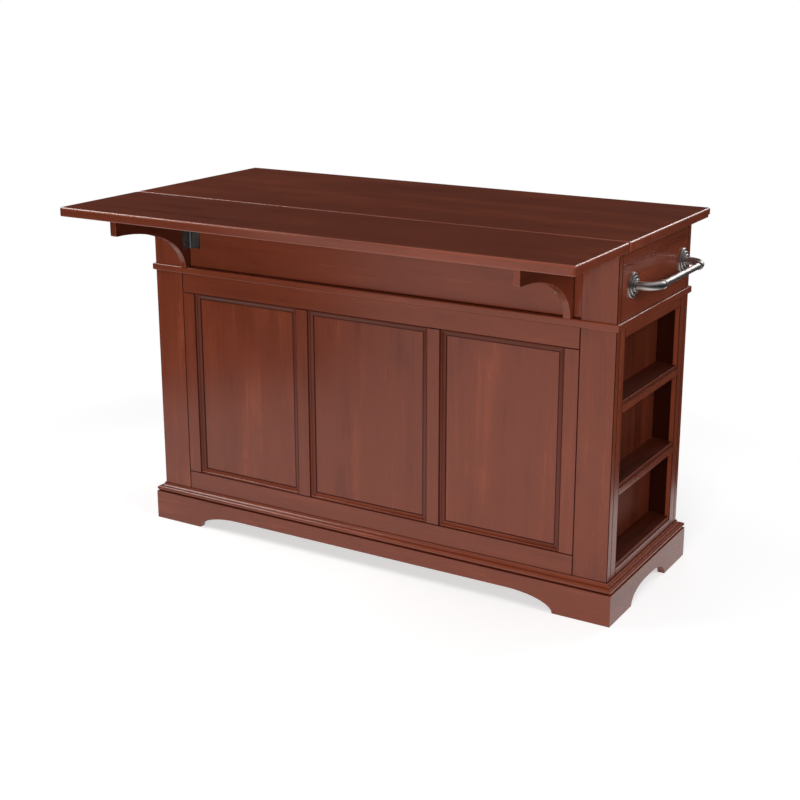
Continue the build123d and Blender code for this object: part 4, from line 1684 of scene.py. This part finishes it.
@dataclass
class Studio:
    """Pale floor, soft lamps, a dim room with a low drape round the set, and the camera.

    Lengths are in metres and angles in degrees. The horizon and the ceiling are the heights, from 0 at eye
    level to 1 overhead, between which the room that reflections show goes from pale to dim and back.
    """

    camera_place: Place = (1.79804, -2.96824, 1.50002)
    camera_turn: float = 30.8287
    camera_tilt: float = 15.6594
    camera_roll: float = -0.0533
    sensor: float = 36.0
    lens: float = 64.376
    shift: float = -0.05
    floor_half: float = 60.0
    floor_paint: float = 0.62
    floor_glow: float = 0.52
    floor_fade: Pair = (1.1, 2.4)
    room: float = 0.12
    horizon: Pair = (0.0, 0.06)
    horizon_shades: Pair = (1.0, 0.02)
    ceiling: Pair = (0.55, 0.85)
    ceiling_shades: Pair = (0.0, 0.6)
    drape_radius: float = 1.45
    drape_place: Pair = (-0.2, -0.2)
    drape_height: float = 1.0
    drape_sides: int = 48
    drape_gap: Pair = (-120.0, -78.0)
    drape_weave: Pattern = Pattern((90.0, 90.0, 20.0), 2.0)
    drape_dark: Colour = (0.010, 0.010, 0.010)
    drape_pale: Colour = (0.025, 0.024, 0.024)
    drape_roughness: float = 0.95
    lamps: tuple[Softbox, ...] = (
        Softbox("front_softbox", (1.4, -3.6, 1.1), 1.4, 1.0, 103.0),
        Softbox("right_softbox", (3.2, -0.6, 2.2), 1.2, 1.2, 54.0),
        Softbox("rim_softbox", (1.25, 2.8, 2.05), 1.5, 0.6, 26.0, (0.5, 0.0, 0.8), True),
        Softbox("upper_left_softbox", (-2.35, -0.8, 2.65), 2.2, 0.6, 54.0, (-0.4, -0.3, 0.6), True),
        Softbox("back_softbox", (-0.9, 3.2, 0.45), 1.8, 0.7, 40.0),
        Softbox("left_softbox", (-3.2, -0.5, 0.45), 1.4, 0.7, 15.0))

    def build(self) -> None:
        """Builds the floor, the drape, the lamps, the world and the camera."""
        self.floor()
        self.drape()
        for lamp in self.lamps:
            lamp.build()
        self.world()
        self.camera()
        bpy.context.scene.view_settings.view_transform = "Standard"

    def prop(self, name: str, mesh: bmesh.types.BMesh, material: Material) -> bpy.types.Object:
        """Adds a piece of the studio.

        Args:
            name: its name.
            mesh: its mesh.
            material: its material.

        Returns:
            The object.
        """
        item = new_object(name, mesh, material)
        return item

    def floor(self) -> None:
        """Pale floor that keeps the shadow near the counter and fades to white far from it."""
        material = bpy.data.materials.new("pale_floor")
        material.use_nodes = True
        nodes = Nodes(material.node_tree)
        length = nodes.add("VectorMath", operation="LENGTH")
        nodes.join(nodes.object_place(), length.inputs[0])
        far = nodes.span(length.outputs["Value"], *self.floor_fade)
        paper = nodes.add("BsdfDiffuse")
        nodes.join(nodes.mix(far, (self.floor_paint,) * 3, (0.0, 0.0, 0.0)), paper.inputs["Color"])
        rays = nodes.add("LightPath").outputs
        seen = nodes.math("MAXIMUM", rays["Is Camera Ray"], rays["Is Glossy Ray"])
        seen = nodes.math("MAXIMUM", seen, rays["Is Transmission Ray"])
        glow = nodes.add("Emission")
        strength = nodes.times(seen, nodes.span(far, 0.0, 1.0, self.floor_glow, 1.0))
        nodes.join(strength, glow.inputs["Strength"])
        total = nodes.add("AddShader")
        nodes.join(paper.outputs[0], total.inputs[0])
        nodes.join(glow.outputs[0], total.inputs[1])
        nodes.join(total.outputs[0], nodes.add("OutputMaterial").inputs["Surface"])
        mesh = bmesh.new()
        bmesh.ops.create_grid(mesh, x_segments=1, y_segments=1, size=self.floor_half)
        self.prop("floor", mesh, material)

    def drape(self) -> None:
        """Dark cloth round the set, parted before the counter, which only reflections show."""
        material, nodes, shader = new_material("dark_cloth")
        weave = self.drape_weave.value(nodes, nodes.object_place())
        nodes.join(nodes.mix(weave, self.drape_dark, self.drape_pale), shader.inputs["Base Color"])
        nodes.join(self.drape_roughness, shader.inputs["Roughness"])
        mesh = bmesh.new()
        bmesh.ops.create_cone(mesh, cap_ends=False, segments=self.drape_sides, radius1=self.drape_radius,
                              radius2=self.drape_radius, depth=self.drape_height,
                              matrix=Matrix.Translation((*self.drape_place, self.drape_height / 2)))
        first, last = (math.radians(angle) for angle in self.drape_gap)
        parted = [face for face in mesh.faces if first < math.atan2(*face.calc_center_median().yx) < last]
        bmesh.ops.delete(mesh, geom=parted, context="FACES")
        cloth = self.prop("drape", mesh, material)
        cloth.visible_camera = False
        cloth.visible_diffuse = False
        cloth.visible_shadow = False
        cloth.visible_transmission = False

    def world(self) -> None:
        """Dim room, with a pale surround for what the camera and reflections see."""
        world = bpy.data.worlds.new("studio")
        bpy.context.scene.world = world
        world.use_nodes = True
        nodes = Nodes(world.node_tree)
        parts = nodes.add("SeparateXYZ")
        nodes.join(nodes.add("TexCoord").outputs["Generated"], parts.inputs[0])
        level = parts.outputs[2]
        rays = nodes.add("LightPath").outputs
        mirrored = nodes.math("MAXIMUM", rays["Is Glossy Ray"], rays["Is Transmission Ray"])
        surround = nodes.math("ADD", nodes.span(level, *self.horizon, *self.horizon_shades),
                              nodes.span(level, *self.ceiling, *self.ceiling_shades))
        lit = nodes.mix(mirrored, (self.room,) * 3, (0.0, 0.0, 0.0))
        pale = nodes.math("MAXIMUM", rays["Is Camera Ray"], nodes.times(mirrored, surround), True)
        background = nodes.add("Background")
        nodes.join(nodes.mix(pale, lit, (1.0, 1.0, 1.0)), background.inputs["Color"])
        nodes.join(background.outputs[0], nodes.add("OutputWorld").inputs["Surface"])

    def camera(self) -> None:
        """Adds the camera at the photograph's viewing angle."""
        data = bpy.data.cameras.new("camera")
        data.sensor_width = self.sensor
        data.lens = self.lens
        data.shift_y = self.shift
        camera = bpy.data.objects.new("camera", data)
        turn = (rotation(self.camera_turn, "Z") @ rotation(90 - self.camera_tilt, "X")
                @ rotation(self.camera_roll, "Z"))
        camera.location = self.camera_place
        camera.rotation_euler = turn.to_euler()
        bpy.context.scene.collection.objects.link(camera)
        bpy.context.scene.camera = camera


def main() -> None:
    """Builds the counter's pieces and the studio."""
    logging.basicConfig(level=logging.INFO, format="%(name)s %(message)s")
    nickel = NICKEL.material()
    finishes = {
        "body_wood": BODY_WOOD.material(), "top_wood": TOP_WOOD.material(),
        "rack_wood": SHADED_RACK_WOOD.material(), "inside_wood": INSIDE_WOOD.material(),
        "towel_metal": nickel, "knob_metal": nickel, "hinge_metal": STEEL.material()}
    parts = [
        PlainBoards(finishes), LeftEnd(finishes), Tops(finishes), Mouldings(finishes), FixedBeads(finishes),
        # The brackets' last numbers are the painted shade on their sides.
        Rack(finishes), Bracket(finishes, "left", 84, 0.7), Bracket(finishes, "right", 85, 0.35),
        TowelBar(finishes), Hinges(finishes), Drawer(finishes, "left", 94, 99),
        Drawer(finishes, "right", 95, 100), Runners(finishes),
        Door(finishes, "door_left_inner", 153), Door(finishes, "door_left_outer", 122),
        Door(finishes, "door_right_inner", 118), Door(finishes, "door_right_outer", 137)]
    for part in parts:
        part.build()
    Studio().build()


if __name__ == "__main__":
    main()
